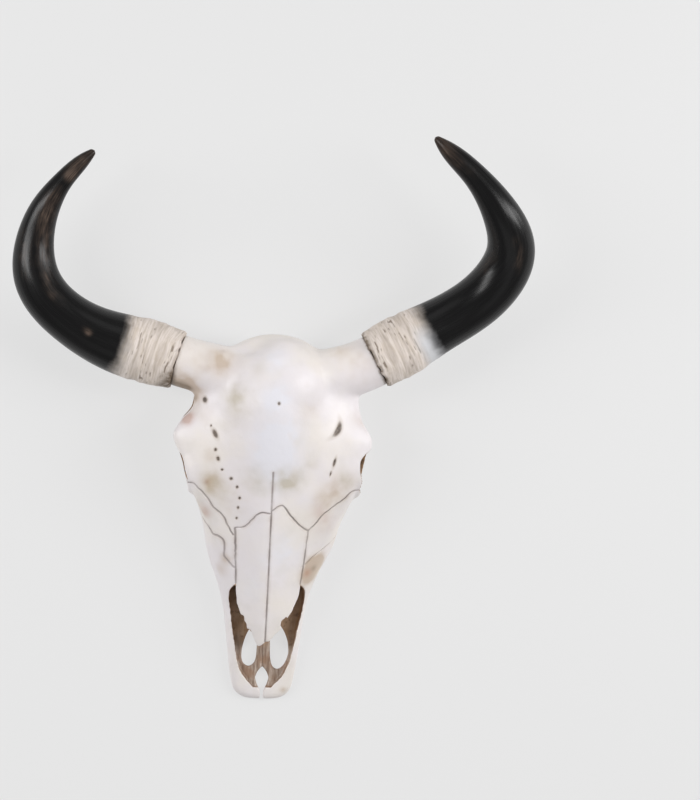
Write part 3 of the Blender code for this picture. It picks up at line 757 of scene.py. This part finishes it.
def near_lines(lines):
    """A tree of points closely along the lines, and the fineness of each point's line."""
    dense = []
    for fineness, line in lines:
        for a, b in zip(line, line[1:]):
            count = max(1, int((b - a).length / LINE_STEP))
            dense += [(a.lerp(b, k / count), fineness) for k in range(count)]
    tree = KDTree(len(dense))
    for index, (point, _) in enumerate(dense):
        tree.insert(point, index)
    tree.balance()
    return tree, [fineness for _, fineness in dense]


def distances(lines, points):
    """How far each point is from the nearest line, counted as less where the line is broad, up to a limit."""
    tree, fineness = lines
    found = (tree.find(p) for p in points)
    return np.array([min(LINE_LIMIT, away * fineness[index]) for _, index, away in found])


def refined(obj, lines, reach):
    """Splits the faces near the lines in four."""
    bm = bmesh.new()
    bm.from_mesh(obj.data)
    close = {v for v in bm.verts if lines[0].find(v.co)[2] < reach}
    edges = [e for e in bm.edges if e.verts[0] in close and e.verts[1] in close]
    bmesh.ops.subdivide_edges(bm, edges=edges, cuts=1, use_grid_fill=True)
    bmesh.ops.triangulate(bm, faces=[f for f in bm.faces if len(f.verts) > 4])
    bm.to_mesh(obj.data)
    bm.free()


def pit_field(points):
    """How far each point is from the middle of the nearest small opening, in half sizes of that opening."""
    nearest = np.full(len(points), FAR)
    for x, y, wide, long, turn in PITS:
        c, s = math.cos(math.radians(turn)), math.sin(math.radians(turn))
        dx, dy = points[:, 0] - x, points[:, 1] - y
        u, v = (c * dx + s * dy) / wide, (c * dy - s * dx) / long
        if long > COMMA_LENGTH:
            u = u + COMMA_BEND * (v * v - 0.5)
        nearest = np.minimum(nearest, np.hypot(u, v))
    return np.where(points[:, 2] > PIT_LOWEST, nearest, FAR)


def hollow_field(points):
    """Signed distance from the painted orbits and fossae, below zero inside them."""
    field = np.full(len(points), VERY_FAR)
    for name, side in SIDES:
        for centre, radii, ragged in side_hollows(name, side):
            out = (points - np.array(centre)) / radii
            away = np.linalg.norm(out, axis=1)
            reach = roughness(out / away[:, None], radii, ragged, HOLLOW_SEED + side)
            field = np.minimum(field, (away - reach) * np.mean(radii) - HOLLOW_EDGE)
    return field


def inside_plan(points, outline):
    """Signed distance in plan from an outline: below zero inside it."""
    edge = np.array(outline, float)
    p = points[:, :2]
    nearest = np.full(len(p), np.inf)
    inside = np.zeros(len(p), bool)
    for a, b in zip(edge, np.roll(edge, -1, 0)):
        along = b - a
        t = np.clip(((p - a) @ along) / max(along @ along, TINY), 0, 1)
        nearest = np.minimum(nearest, np.linalg.norm(p - a - t[:, None] * along, axis=1))
        crosses = (a[1] > p[:, 1]) != (b[1] > p[:, 1])
        if abs(b[1] - a[1]) > TINY:
            at = a[0] + (p[:, 1] - a[1]) * (b[0] - a[0]) / (b[1] - a[1])
            inside ^= crosses & (p[:, 0] < at)
    return np.where(inside, -nearest, nearest)


def half_space(side):
    """Everything on one side of the midline's cut."""
    (_, front, _), (right, back, _) = ABOVE_BACK
    near, far = side * CUT / 2, side * float(right)
    return box("half", (min(near, far), front, -BELOW), (max(near, far), back, CAST_TOP))


def suture_columns():
    """The room behind the frontal suture, and the room in front of it."""
    line = drawn("frontal", "left")[::-1] + drawn("frontal", "right")
    (left, _), (right, _) = line[0], line[-1]
    back = [(x, y + CUT / 2) for x, y in line] + [(right, BEYOND), (left, BEYOND)]
    front = [(x, y - CUT / 2) for x, y in line] + [(right, ABOVE_BACK[0][1]), (left, ABOVE_BACK[0][1])]
    return column("behind_suture", back), column("before_suture", front)


def whole_body(obj):
    """Keeps the largest connected body of a mesh."""
    bm = bmesh.new()
    bm.from_mesh(obj.data)
    unseen, bodies = set(bm.verts), []
    while unseen:
        reached = [unseen.pop()]
        body = list(reached)
        while reached:
            for edge in reached.pop().link_edges:
                for vert in edge.verts:
                    if vert in unseen:
                        unseen.remove(vert)
                        reached.append(vert)
                        body.append(vert)
        bodies.append(body)
    bodies.sort(key=len)
    bmesh.ops.delete(bm, geom=[v for body in bodies[:-1] for v in body], context="VERTS")
    bm.to_mesh(obj.data)
    bm.free()
    return obj


def cavity_field(points):
    """Signed distance in plan from the rim of the nasal cavity, below zero inside it."""
    field = inside_plan(points, drawn("cavity", "right") + drawn("cavity", "left")[::-1]) - CAVITY_PAINT_EDGE
    return np.where(points[:, 2] > CAVITY_LOWEST, field, VERY_FAR)


def from_place(points, place):
    """How far each point is from a place."""
    return np.linalg.norm(points - np.array(place), axis=1)


def fading(away, radius):
    """1 at no distance, and softly less further away."""
    return np.exp(-(away / radius) ** 2)


def swirl_relief(points):
    """The scrolls of the turbinates."""
    ridges = noise(points * RIDGE_STRETCH, RIDGE_SIZE, RIDGE_SEED)
    relief = RIDGE_HEIGHT * (1 - np.abs(ridges) * RIDGE_STEEPNESS)
    for x, y, z in SWIRLS:
        for side in (1, -1):
            away = from_place(points, (side * x, y, z))
            relief += SCROLL_HEIGHT * np.cos(away * math.tau / SCROLL_PITCH) * fading(away, SCROLL_REACH)
    return relief


def sculpted(obj, lines):
    """Presses the sutures and small openings into the bone, and gives it a hand-finished unevenness."""
    points, out = coordinates(obj.data), read(obj.data.vertex_normals, "vector")
    depth = SUTURE_DEPTH * fading(distances(lines, points), SUTURE_WIDTH)
    depth += PIT_DEPTH * (1 - ease(*PIT_SPAN, pit_field(points)))
    up = ease(*RELIEF_HEIGHTS, points[:, 2])
    swell = sum(height * noise(points, size, seed) for height, size, seed in SWELLS)
    inside = ease(*RIM_SPAN, cavity_field(points)) * ease(*CAVITY_HEIGHTS, points[:, 2])
    inside *= ease(NASAL_LIP, NASAL_LIP + LIP_FADE, face_depth(points))
    moved = points + out * ((swell * up + inside * swirl_relief(points) - depth)[:, None])
    obj.data.vertices.foreach_set("co", moved.astype(np.float32).ravel())
    obj.data.update()


def face_depth(points):
    """How far points lie under the face's rails."""
    places = np.linspace(0, FACE_END, DEPTH_ROWS)
    across = np.linspace(-DEPTH_HALF, DEPTH_HALF, DEPTH_COLUMNS)
    table = np.empty((len(places), len(across)))
    for row, y in zip(table, places):
        loop = np.array(face_loop(float(y)))
        order = np.argsort(loop[:, 0])
        row[:] = np.interp(across, loop[order, 0], loop[order, 2])
    u = np.clip(points[:, 1] / places[1], 0, len(places) - PAST_LAST)
    v = np.clip((points[:, 0] - across[0]) / (across[1] - across[0]), 0, len(across) - PAST_LAST)
    i, j = u.astype(int), v.astype(int)
    s, t = u - i, v - j
    top = table[i, j] * (1 - s) * (1 - t) + table[i + 1, j] * s * (1 - t)
    top += table[i, j + 1] * (1 - s) * t + table[i + 1, j + 1] * s * t
    return top - points[:, 2]


def wash(points, spots, seed, spread):
    """The strength of one colour's soft spots of paint, for the stains and for the painted highlight. A wider
    spread is paler in the middle.
    """
    total = np.zeros(len(points))
    height, size = WASH_UNEVEN
    broken = 1 + height * noise(points, size, seed)
    for x, y, z, radius, strength in spots:
        total += strength * fading(from_place(points, (x, y, z)), spread * radius)
    return np.clip(WASH_STRENGTH / spread ** 2 * total * broken, 0, WASH_MOST)


def streaks(points, lines):
    """The strength of soft streaks of paint along lines of spots: brown, and partly painted highlight."""
    most = np.zeros(len(points))
    for line in lines:
        for x, y, z, radius, strength in through(line, STREAK_POINTS * len(line)):
            most = np.maximum(most, strength * fading(from_place(points, (x, y, z)), STREAK_SPREAD * radius))
    return most * (1 + uneven("horn_streaks", points))


def collar_field(points):
    """The brown by the horns, part stain and part painted shade in the join, 0 to 1: all round on the right,
    below on the left.
    """
    strength = np.zeros(len(points))
    for name, _ in SIDES:
        base, onward, radius = horn_base(name)
        away = points - np.array(base)
        along = -(away @ np.array(onward))
        out = away + along[:, None] * np.array(onward)
        across = np.linalg.norm(out, axis=1)
        below = ease(*BELOW_SPAN, -out[:, 1] / np.maximum(across, TINY))
        width, least = COLLAR[name]
        shaken = along + uneven("collar", points)
        near = 1 - ease(COLLAR_CORE * width, width * (1 + below), shaken)
        amount = near * (least + (1 - least) * below)
        beside = (across < radius + COLLAR_ROOM) & (along > -COLLAR_ROOM)
        strength = np.maximum(strength, np.where(beside, amount, 0))
    return strength


def write(mesh, **fields):
    """Keeps each field as an attribute of the mesh's points, for the paint to follow."""
    for name, values in fields.items():
        kind, key = ("FLOAT_VECTOR", "vector") if np.ndim(values) == 2 else ("FLOAT", "value")
        data = mesh.attributes.new(name, kind, "POINT").data
        data.foreach_set(key, np.asarray(values, np.float32).ravel())


def in_frame(obj, name, finish):
    """Moves a finished piece from millimetres to the frame and has it stand for its node."""
    obj.data.transform(Matrix.Scale(MM, 4) @ Matrix.Translation((0, -ORIGIN_FROM_MUZZLE, 0)))
    obj.data.materials.clear()
    obj.data.materials.append(finish)
    obj.data.shade_smooth()
    obj.name = obj.data.name = name + "_cast"
    making.objects.unlink(obj)
    shown.objects.link(obj)
    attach(obj, "root")
    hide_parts(name)


def painted(obj, name, lines):
    """Writes what the bone's paint follows into its mesh."""
    points = coordinates(obj.data)
    hollow = hollow_field(points)
    if name.startswith("upper_jaw"):
        hollow = np.minimum(hollow, cavity_field(points))
    if name.startswith("nasal"):
        hollow = np.minimum(hollow, UNPAINTED_DEPTH - face_depth(points) + uneven("nasal_underside", points))
    front = 1 - ease(*STREAKED_SPAN, points[:, 1] + uneven("streaked", points))
    front = front * (1 - ease(*STREAKED_HEIGHTS, points[:, 2]))
    # The stains and the painted highlight, each kept as its own attribute.
    washes = {label: wash(points, spots, seed, spread) for label, spots, seed, spread, _, _ in WASHES}
    write(obj.data, line=distances(lines, points), pit=pit_field(points), hollow=hollow, front=front,
          collar=collar_field(points), **washes)


def make_bones():
    """Each bone's piece by name, and the lines of the sutures."""
    skull = solid_skull()
    for name, side in SIDES:
        for centre, radii, ragged in side_hollows(name, side):
            boolean(skull, "DIFFERENCE", ball("hollow", centre, radii, ragged, HOLLOW_SEED + side))
        base, onward, radius = horn_base(name)
        ends = (base - onward * CUT, base + onward * SOCKET_LENGTH)
        boolean(skull, "DIFFERENCE", tube("socket", [(*end, radius + CUT) for end in ends], SOCKET_SEGMENTS))
    boolean(skull, "DIFFERENCE", cavity_solid(), *through_openings())
    melted(skull, *LAST_MELT)

    mesh = skull.data
    surface = BVHTree.FromPolygons([v.co for v in mesh.vertices], [p.vertices for p in mesh.polygons])
    lines = near_lines(surface_lines(surface))
    refined(skull, lines, REFINED)
    sculpted(skull, lines)

    pieces = {}
    for name, side in SIDES:
        room = nasal_room((side,), NASAL_THICKNESS, NASAL_SPARE)
        pieces["nasal_bone_" + name] = part_of(skull, "nasal", "INTERSECT", room)
    boolean(skull, "DIFFERENCE", nasal_room((1, -1), NASAL_THICKNESS, NASAL_SPARE, CUT))
    back, front = suture_columns()
    pieces["cranium"] = part_of(skull, "cranium", "INTERSECT", back)
    boolean(skull, "INTERSECT", front)
    for name, side in SIDES:
        jaw = part_of(skull, "jaw", "INTERSECT", half_space(side))
        pieces["lacrimal_" + name] = part_of(jaw, "lacrimal", "INTERSECT", lacrimal_room(name, side))
        pieces["upper_jaw_" + name] = boolean(jaw, "DIFFERENCE", lacrimal_room(name, side, CUT))
    return pieces, lines


def sheath_relief(around, slanted, along, end):
    """How far the surface of a horn's cream base stands out, and how deep it is cracked, from 0 to 1."""
    def turns(kind):
        height, width, length, seed = SHEATH[kind]
        return height * noise(np.column_stack((around / width, slanted / length)), 1.0, seed)

    groove = WRAPS * ease(*WRAP_SPAN, turns("wraps")) + STRANDS * ease(*STRAND_SPAN, turns("strands"))
    slits = SLITS * ease(*SLIT_SPAN, turns("slits") + turns("gaps"))
    crack = np.maximum(GROOVES * groove, slits)
    fade = 1 - ease(end - SHEATH_FADE, end + SHEATH_OVER, along + turns("edge"))
    return fade * (turns("bulges") - CRACK_DEPTH * crack), fade * crack


def sheath_grime(name, spokes, along):
    """The brown in the broken edge of a horn's base, part grime and part painted shade in the join, from 0 to
    1.
    """
    edge = 1 - ease(*GRIME_SPAN, along + uneven("grime", spokes * GRIME_RADIUS))
    below = ease(*BELOW_SPAN, -spokes[:, 1])
    least = GRIME_AND_SHADE[name]
    reach = 1 - ease(*GRIME_REACH, along + uneven("grime_reach", spokes * GRIME_RADIUS))
    return np.clip(edge * (least + (1 - least) * below) + reach * below * (1 - least), 0, 1)


def horn(name):
    """One horn as a continuous sheath: cracked rings at the base, smooth from there to the tip."""
    cream = CREAM_LENGTH[name]
    knots = np.array(HORN_PATHS[name], float)
    path = spline(knots, int(steps(knots).sum() / HORN_STEP))
    segments = HORN_SEGMENTS
    centres, radii, spokes, turn = rings_along(path, segments)
    along = chord(centres)
    end = np.clip((along - (along[-1] - HORN_TIP)) / HORN_TIP, 0, 1)
    rounded = np.sqrt(np.maximum(1 - end ** 2, TIP_LEAST))
    radii = radii * rounded - HORN_TUCK * (1 - ease(*TUCK_SPAN, along))
    turns, places = np.tile(turn, len(path)), np.repeat(along, segments)
    around = np.stack((np.cos(turns), np.sin(turns)), 1) * HORN_AROUND
    wide, long = SLANT_SIZE
    wavy = uneven("horn_slant", np.column_stack((around / wide, places / long)))
    slanted = places + SLANT * np.cos(turns + SLANT_TURN) + wavy
    relief, crack = sheath_relief(around, slanted, places, cream - SPRAYED_BACK * AIRBRUSH[name])
    wide, long = UNEVEN_SIZE
    smooth = uneven("horn", np.column_stack((around / wide, places / long)))
    taper = np.repeat(np.clip(radii / UNEVEN_RADIUS, 0, 1), segments)
    relief = relief + smooth * taper * ease(*HORN_UNEVEN_SPAN, places)
    points = centres[:, None] + spokes * (radii[:, None] + relief.reshape(len(path), segments))[:, :, None]
    fray = uneven("fray", np.column_stack((around[:segments], np.zeros(segments))))
    ahead = centres[1] - centres[0]
    points[0] += fray[:, None] * ahead / np.linalg.norm(ahead)
    bm = bmesh.new()
    rings = skin(bm, points)
    middle = bm.verts.new(centres[0])
    tip = bm.verts.new(centres[-1])
    for k in range(segments):
        bm.faces.new((middle, rings[0][(k + 1) % segments], rings[0][k]))
        bm.faces.new((tip, rings[-1][k], rings[-1][(k + 1) % segments]))
    obj = from_bmesh("horn", bm)
    flat = spokes.reshape(-1, 3)
    lower = ease(*AIRBRUSH_SPAN, -flat[:, 1])
    write(obj.data,
          sheath=np.vstack((np.column_stack((around, slanted)), (0, 0, 0), (0, 0, along[-1]))),
          crack=np.append(crack, (BASE_CRACK, 0)),
          blackness=np.append(places - cream, (-cream, along[-1] - cream)),
          grime=np.append(sheath_grime(name, flat, places), (1, 0)),
          brown=streaks(coordinates(obj.data), HORN_STREAKS_AND_HIGHLIGHTS),
          airbrush=np.append(AIRBRUSH[name] * lower, (0, 0)))
    return obj


class Shader:
    """A short way of writing node trees: each call adds a node and returns its output."""

    def __init__(self, name):
        self.material = bpy.data.materials.new(name)
        self.material.use_nodes = True
        self.tree = self.material.node_tree

    def node(self, kind, output=0, inputs=(), **settings):
        made = self.tree.nodes.new(kind)
        for key, value in settings.items():
            setattr(made, key, value)
        for key, value in dict(inputs).items():
            self.plug(made.inputs[key], value)
        return made.outputs[output]

    def plug(self, socket, value):
        if isinstance(value, bpy.types.NodeSocket):
            self.tree.links.new(value, socket)
        else:
            socket.default_value = (*value, 1.0) if socket.type == "RGBA" else value

    def field(self, name, output="Fac"):
        return self.node("ShaderNodeAttribute", output, attribute_name=name)

    def position(self):
        return self.node("ShaderNodeTexCoord", "Object")

    def noise(self, vector, scale, detail=3.0, roughness=0.55):
        inputs = {"Vector": vector, "Scale": scale, "Detail": detail, "Roughness": roughness}
        return self.node("ShaderNodeTexNoise", "Fac", inputs)

    def stretched(self, vector, scale):
        return self.node("ShaderNodeMapping", 0, {"Vector": vector, "Scale": scale})

    def ramp(self, value, low, high, to_low=0.0, to_high=1.0, curve="SMOOTHSTEP"):
        inputs = {0: value, 1: low, 2: high, 3: to_low, 4: to_high}
        return self.node("ShaderNodeMapRange", 0, inputs, interpolation_type=curve)

    def math(self, kind, a, b):
        return self.node("ShaderNodeMath", 0, {0: a, 1: b}, operation=kind)

    def times(self, a, b):
        return self.math("MULTIPLY", a, b)

    def plus(self, a, b):
        return self.math("ADD", a, b)

    def mix(self, factor, a, b):
        return self.node("ShaderNodeMix", 2, {0: factor, 6: a, 7: b}, data_type="RGBA")

    def over(self, under, tint, value, low, high, most=1.0, curve="SMOOTHSTEP"):
        """A tint laid over a colour, from nothing where value is low to the most where it is high."""
        return self.mix(self.ramp(value, low, high, 0.0, most, curve), under, tint)

    def bump(self, height, strength, distance):
        return self.node("ShaderNodeBump", 0, {"Height": height, "Strength": strength, "Distance": distance})

    def finish(self, **inputs):
        for key, value in inputs.items():
            self.plug(self.tree.nodes["Principled BSDF"].inputs[key.replace("_", " ")], value)
        return self.material


def cavity_brown(s, place):
    """Brown for the hollows: dark in the orbits, lighter in the nasal cavity and streaked at its front."""
    streaks = s.noise(s.stretched(place, (1.0, 0.13, 1.0)), 330.0, 4.0, 0.6)
    patches = s.noise(place, 45.0)
    orbits = s.over((0.18, 0.095, 0.038), (0.29, 0.165, 0.078), patches, 0.35, 0.65)
    orbits = s.over(orbits, (0.38, 0.24, 0.13), streaks, 0.45, 0.75, 0.45)
    orbits = s.over(orbits, (0.07, 0.038, 0.02), s.noise(place, 105.0, 4.0, 0.6), 0.5, 0.66, 0.8)
    front = s.over((0.21, 0.14, 0.10), (0.42, 0.33, 0.27), streaks, 0.32, 0.6)
    front = s.over(front, (0.70, 0.62, 0.56), streaks, 0.58, 0.74, 0.8)
    front = s.over(front, (0.27, 0.15, 0.085), patches, 0.45, 0.64, 0.7)
    nasal = s.over((0.38, 0.245, 0.145), (0.51, 0.355, 0.24), patches, 0.35, 0.65)
    nasal = s.over(nasal, (0.57, 0.41, 0.285), streaks, 0.45, 0.75, 0.5)
    nasal = s.over(nasal, (0.13, 0.075, 0.045), s.noise(place, 120.0, 4.0, 0.6), 0.52, 0.7, 0.75)
    along = s.node("ShaderNodeSeparateXYZ", "Y", {"Vector": place})
    return s.mix(s.field("front"), s.over(orbits, nasal, along, *NASAL_PAINT_SPAN), front)


def bone_paint():
    """Satin off-white resin with soft washes of paint, a painted highlight down the forehead, brown round the
    horns partly painted shade, sutures and brown hollows.
    """
    s = Shader("painted_bone")
    place = s.position()
    broken, fine = s.noise(place, 60.0, 4.0), s.noise(place, 420.0)
    colour = s.over(BONE_PINK, BONE_CREAM, s.noise(place, 11.0, 4.0), 0.35, 0.68)
    colour = s.over(colour, (0.66, 0.625, 0.575), s.noise(place, 19.0), 0.5, 0.72, 0.3)
    colour = s.over(colour, (0.66, 0.60, 0.56), broken, 0.52, 0.8, 0.2)
    # The washes are stains, apart from the painted highlight, a pale bluish tint down the forehead.
    for name, _, _, _, tint, most in WASHES:
        amount = s.times(s.field(name), s.ramp(broken, 0.3, 0.7, 0.7, 1.1))
        colour = s.over(colour, tint, amount, 0.02, 1.1, most, "LINEAR")
    # Brown round the horns' roots: part stain, part painted shade in the join between bone and horn.
    smudges = s.ramp(s.noise(place, 150.0), 0.3, 0.6, 0.45, 0.9)
    colour = s.mix(s.times(s.field("collar"), smudges), colour, (0.19, 0.14, 0.10))
    line, pit = s.field("line"), s.field("pit")
    halo = s.times(s.ramp(line, 4.5, 0.8, 0.0, 0.22), s.ramp(broken, 0.35, 0.65))
    colour = s.mix(halo, colour, (0.42, 0.30, 0.22))
    strength = s.ramp(s.noise(place, 35.0), 0.3, 0.66, 0.42, 0.85)
    colour = s.mix(s.times(s.ramp(line, 1.6, 0.45), strength), colour, (0.26, 0.215, 0.205))
    colour = s.over(colour, (0.45, 0.36, 0.28), pit, 2.2, 0.9, 0.4)
    pit_tone = s.over((0.10, 0.078, 0.062), (0.20, 0.155, 0.12), s.noise(place, 260.0, 2.0), 0.35, 0.65)
    colour = s.over(colour, pit_tone, pit, 1.3, 0.6, 0.88)
    colour = s.over(colour, cavity_brown(s, place), s.field("hollow"), 0.45, -0.25)
    height = s.plus(s.times(fine, 0.35), s.times(broken, 0.65))
    return s.finish(Base_Color=colour, Roughness=s.ramp(broken, 0.3, 0.75, 0.36, 0.5),
                    Specular_IOR_Level=0.5, Normal=s.bump(height, 0.25, 0.0012))


def horn_paint():
    """Cream at the ringed base, airbrushed into glossy black with brown streaks, partly painted highlights,
    and a paler brown tip.
    """
    s = Shader("painted_horn")
    sheath = s.field("sheath", "Vector")
    crack, black = s.field("crack"), s.field("blackness")
    strips = s.noise(s.stretched(sheath, (0.04, 0.04, 0.36)), 1.0, 4.0, 0.65)
    cream = s.over((0.58, 0.505, 0.435), (0.78, 0.70, 0.65), strips, 0.3, 0.66)
    cream = s.over(cream, (0.60, 0.50, 0.39), s.noise(sheath, 0.06), 0.45, 0.75, 0.4)
    cream = s.over(cream, (0.34, 0.28, 0.23), crack, 0.15, 0.6, 0.45, "LINEAR")
    cream = s.over(cream, (0.17, 0.125, 0.09), crack, 0.6, 1.0, 0.75)
    # Brown at the base's broken edge and along its lower side: part grime, part painted shade in the join
    # with the bone.
    smudges = s.ramp(s.noise(s.position(), 190.0), 0.3, 0.6, 0.35, 1.0)
    cream = s.mix(s.times(s.field("grime"), smudges), cream, (0.16, 0.12, 0.085))
    sprayed = s.times(s.ramp(black, -26.0, -9.0), s.field("airbrush"))
    cream = s.mix(sprayed, cream, (0.63, 0.63, 0.65))
    lengthwise = s.noise(s.stretched(sheath, (0.24, 0.24, 0.02)), 1.0, 5.0, 0.6)
    flecks = s.noise(s.stretched(sheath, (0.2, 0.2, 0.035)), 1.0, 4.0, 0.65)
    patches = s.times(s.ramp(lengthwise, 0.52, 0.78), s.ramp(s.noise(sheath, 0.022), 0.5, 0.7))
    dark = s.over(BLACK, (0.040, 0.032, 0.027), patches, 0.0, 1.0, 0.7)
    # Lighter brown streaks over the black: partly brown paint, partly painted highlights along the horns'
    # curves.
    brown = s.over((0.05, 0.035, 0.028), (0.17, 0.12, 0.092), flecks, 0.3, 0.75)
    amount = s.times(s.field("brown"), s.ramp(flecks, 0.25, 0.65, 0.45, 1.0))
    dark = s.over(dark, brown, amount, 0.05, 1.2, 0.8)
    tip = s.times(s.ramp(black, 300.0, 370.0), s.ramp(lengthwise, 0.35, 0.62, 0.1, 0.6))
    dark = s.mix(tip, dark, (0.13, 0.085, 0.06))
    soft = s.plus(black, s.ramp(s.noise(sheath, 0.05, 2.0), 0.3, 0.7, -2.5, 2.5))
    gloss = s.plus(s.ramp(soft, -7.0, 9.0, 0.45, 0.25), s.ramp(lengthwise, 0.3, 0.7, -0.04, 0.08))
    height = s.plus(s.times(lengthwise, 0.5), s.times(strips, s.ramp(black, 0.0, -14.0)))
    return s.finish(Base_Color=s.over(cream, dark, soft, -12.0, 12.0), Roughness=gloss,
                    Specular_IOR_Level=0.24, Normal=s.bump(height, 0.3, 0.0008))


CAMERA_PLACE = Vector((-0.1866, 0.0157, 3.0639))
# Which way the camera's right, top and back face.
CAMERA_AXES = (Vector((0.998, 0.030, 0.062)), Vector((-0.030, 0.9996, -0.001)),
               Vector((-0.062, -0.002, 0.998)))
FRAME_WIDTH, FRAME_HEIGHT = 700, 800
FOCAL_PIXELS = 2307.0
CENTRE_PIXEL = (272.0, 420.0)
SENSOR, CLIP = 36.0, (0.05, 50.0)

FLOOR_TONE, FLOOR_GLOW, FLOOR_REACH, FLOOR_GAP, WORLD_LIGHT = 0.2, 0.595, 30.0, 0.0005, 0.32
LIT_PLACE = (0, 0, 0.08)
# Soft lights: name, place, size in metres and power in watts.
LIGHTS = (
    ("left", (-1.9, 0.35, 1.75), (0.6, 1.9), 32.0),
    ("right", (1.9, 0.35, 1.75), (0.6, 1.9), 30.0),
    ("side", (2.25, 0.85, 0.95), (0.4, 1.8), 14.0),
    ("head", (0.1, 2.4, 2.2), (3.0, 1.4), 9.0),
    ("foot", (0.1, -2.6, 2.4), (3.0, 1.4), 6.5),
)


def make_camera():
    data = bpy.data.cameras.new("view")
    data.sensor_fit = "HORIZONTAL"
    data.sensor_width = SENSOR
    data.lens = FOCAL_PIXELS * SENSOR / FRAME_WIDTH
    data.shift_x = (FRAME_WIDTH / 2 - CENTRE_PIXEL[0]) / FRAME_WIDTH
    data.shift_y = (CENTRE_PIXEL[1] - FRAME_HEIGHT / 2) / FRAME_WIDTH
    data.clip_start, data.clip_end = CLIP
    camera = new_object("view", data, shown)
    turned = Matrix([axis.normalized() for axis in CAMERA_AXES]).transposed().to_4x4()
    camera.matrix_world = Matrix.Translation(CAMERA_PLACE) @ turned
    bpy.context.scene.camera = camera


def area_light(name, place, size, power):
    data = bpy.data.lights.new(name, "AREA")
    data.shape = "RECTANGLE"
    data.size, data.size_y = size
    data.energy = power
    light = new_object(name, data, shown)
    light.location = place
    light.rotation_euler = (Vector(LIT_PLACE) - Vector(place)).to_track_quat("-Z", "Y").to_euler()


def make_studio():
    """A plain pale floor that glows a little, lit by the soft lights and an even sky."""
    mesh = bpy.data.meshes.new("floor")
    corners = [(x * FLOOR_REACH, y * FLOOR_REACH, 0) for x, y in ((-1, -1), (1, -1), (1, 1), (-1, 1))]
    mesh.from_pydata(corners, [], [(0, 1, 2, 3)])
    floor = new_object("floor", mesh, shown)
    floor.location.z = -FLOOR_GAP
    s = Shader("pale_floor")
    mesh.materials.append(s.finish(Base_Color=(FLOOR_TONE,) * 3, Roughness=0.9, Specular_IOR_Level=0.1,
                                   Emission_Color=(1.0, 1.0, 1.0), Emission_Strength=FLOOR_GLOW))
    world = bpy.data.worlds.new("studio")
    world.use_nodes = True
    sky = world.node_tree.nodes["Background"].inputs
    sky["Color"].default_value = (1, 1, 1, 1)
    sky["Strength"].default_value = WORLD_LIGHT
    bpy.context.scene.world = world
    for light in LIGHTS:
        area_light(*light)
    bpy.context.scene.view_settings.view_transform = "Standard"


def main():
    pieces, lines = make_bones()
    bone, black = bone_paint(), horn_paint()
    for name, piece in pieces.items():
        whole_body(piece)
        painted(piece, name, lines)
        in_frame(piece, name, bone)
    for name, _ in SIDES:
        in_frame(horn(name), "horn_" + name, black)
    for leftover in list(making.objects):
        bpy.data.objects.remove(leftover)
    bpy.data.collections.remove(making)
    make_camera()
    make_studio()


main()
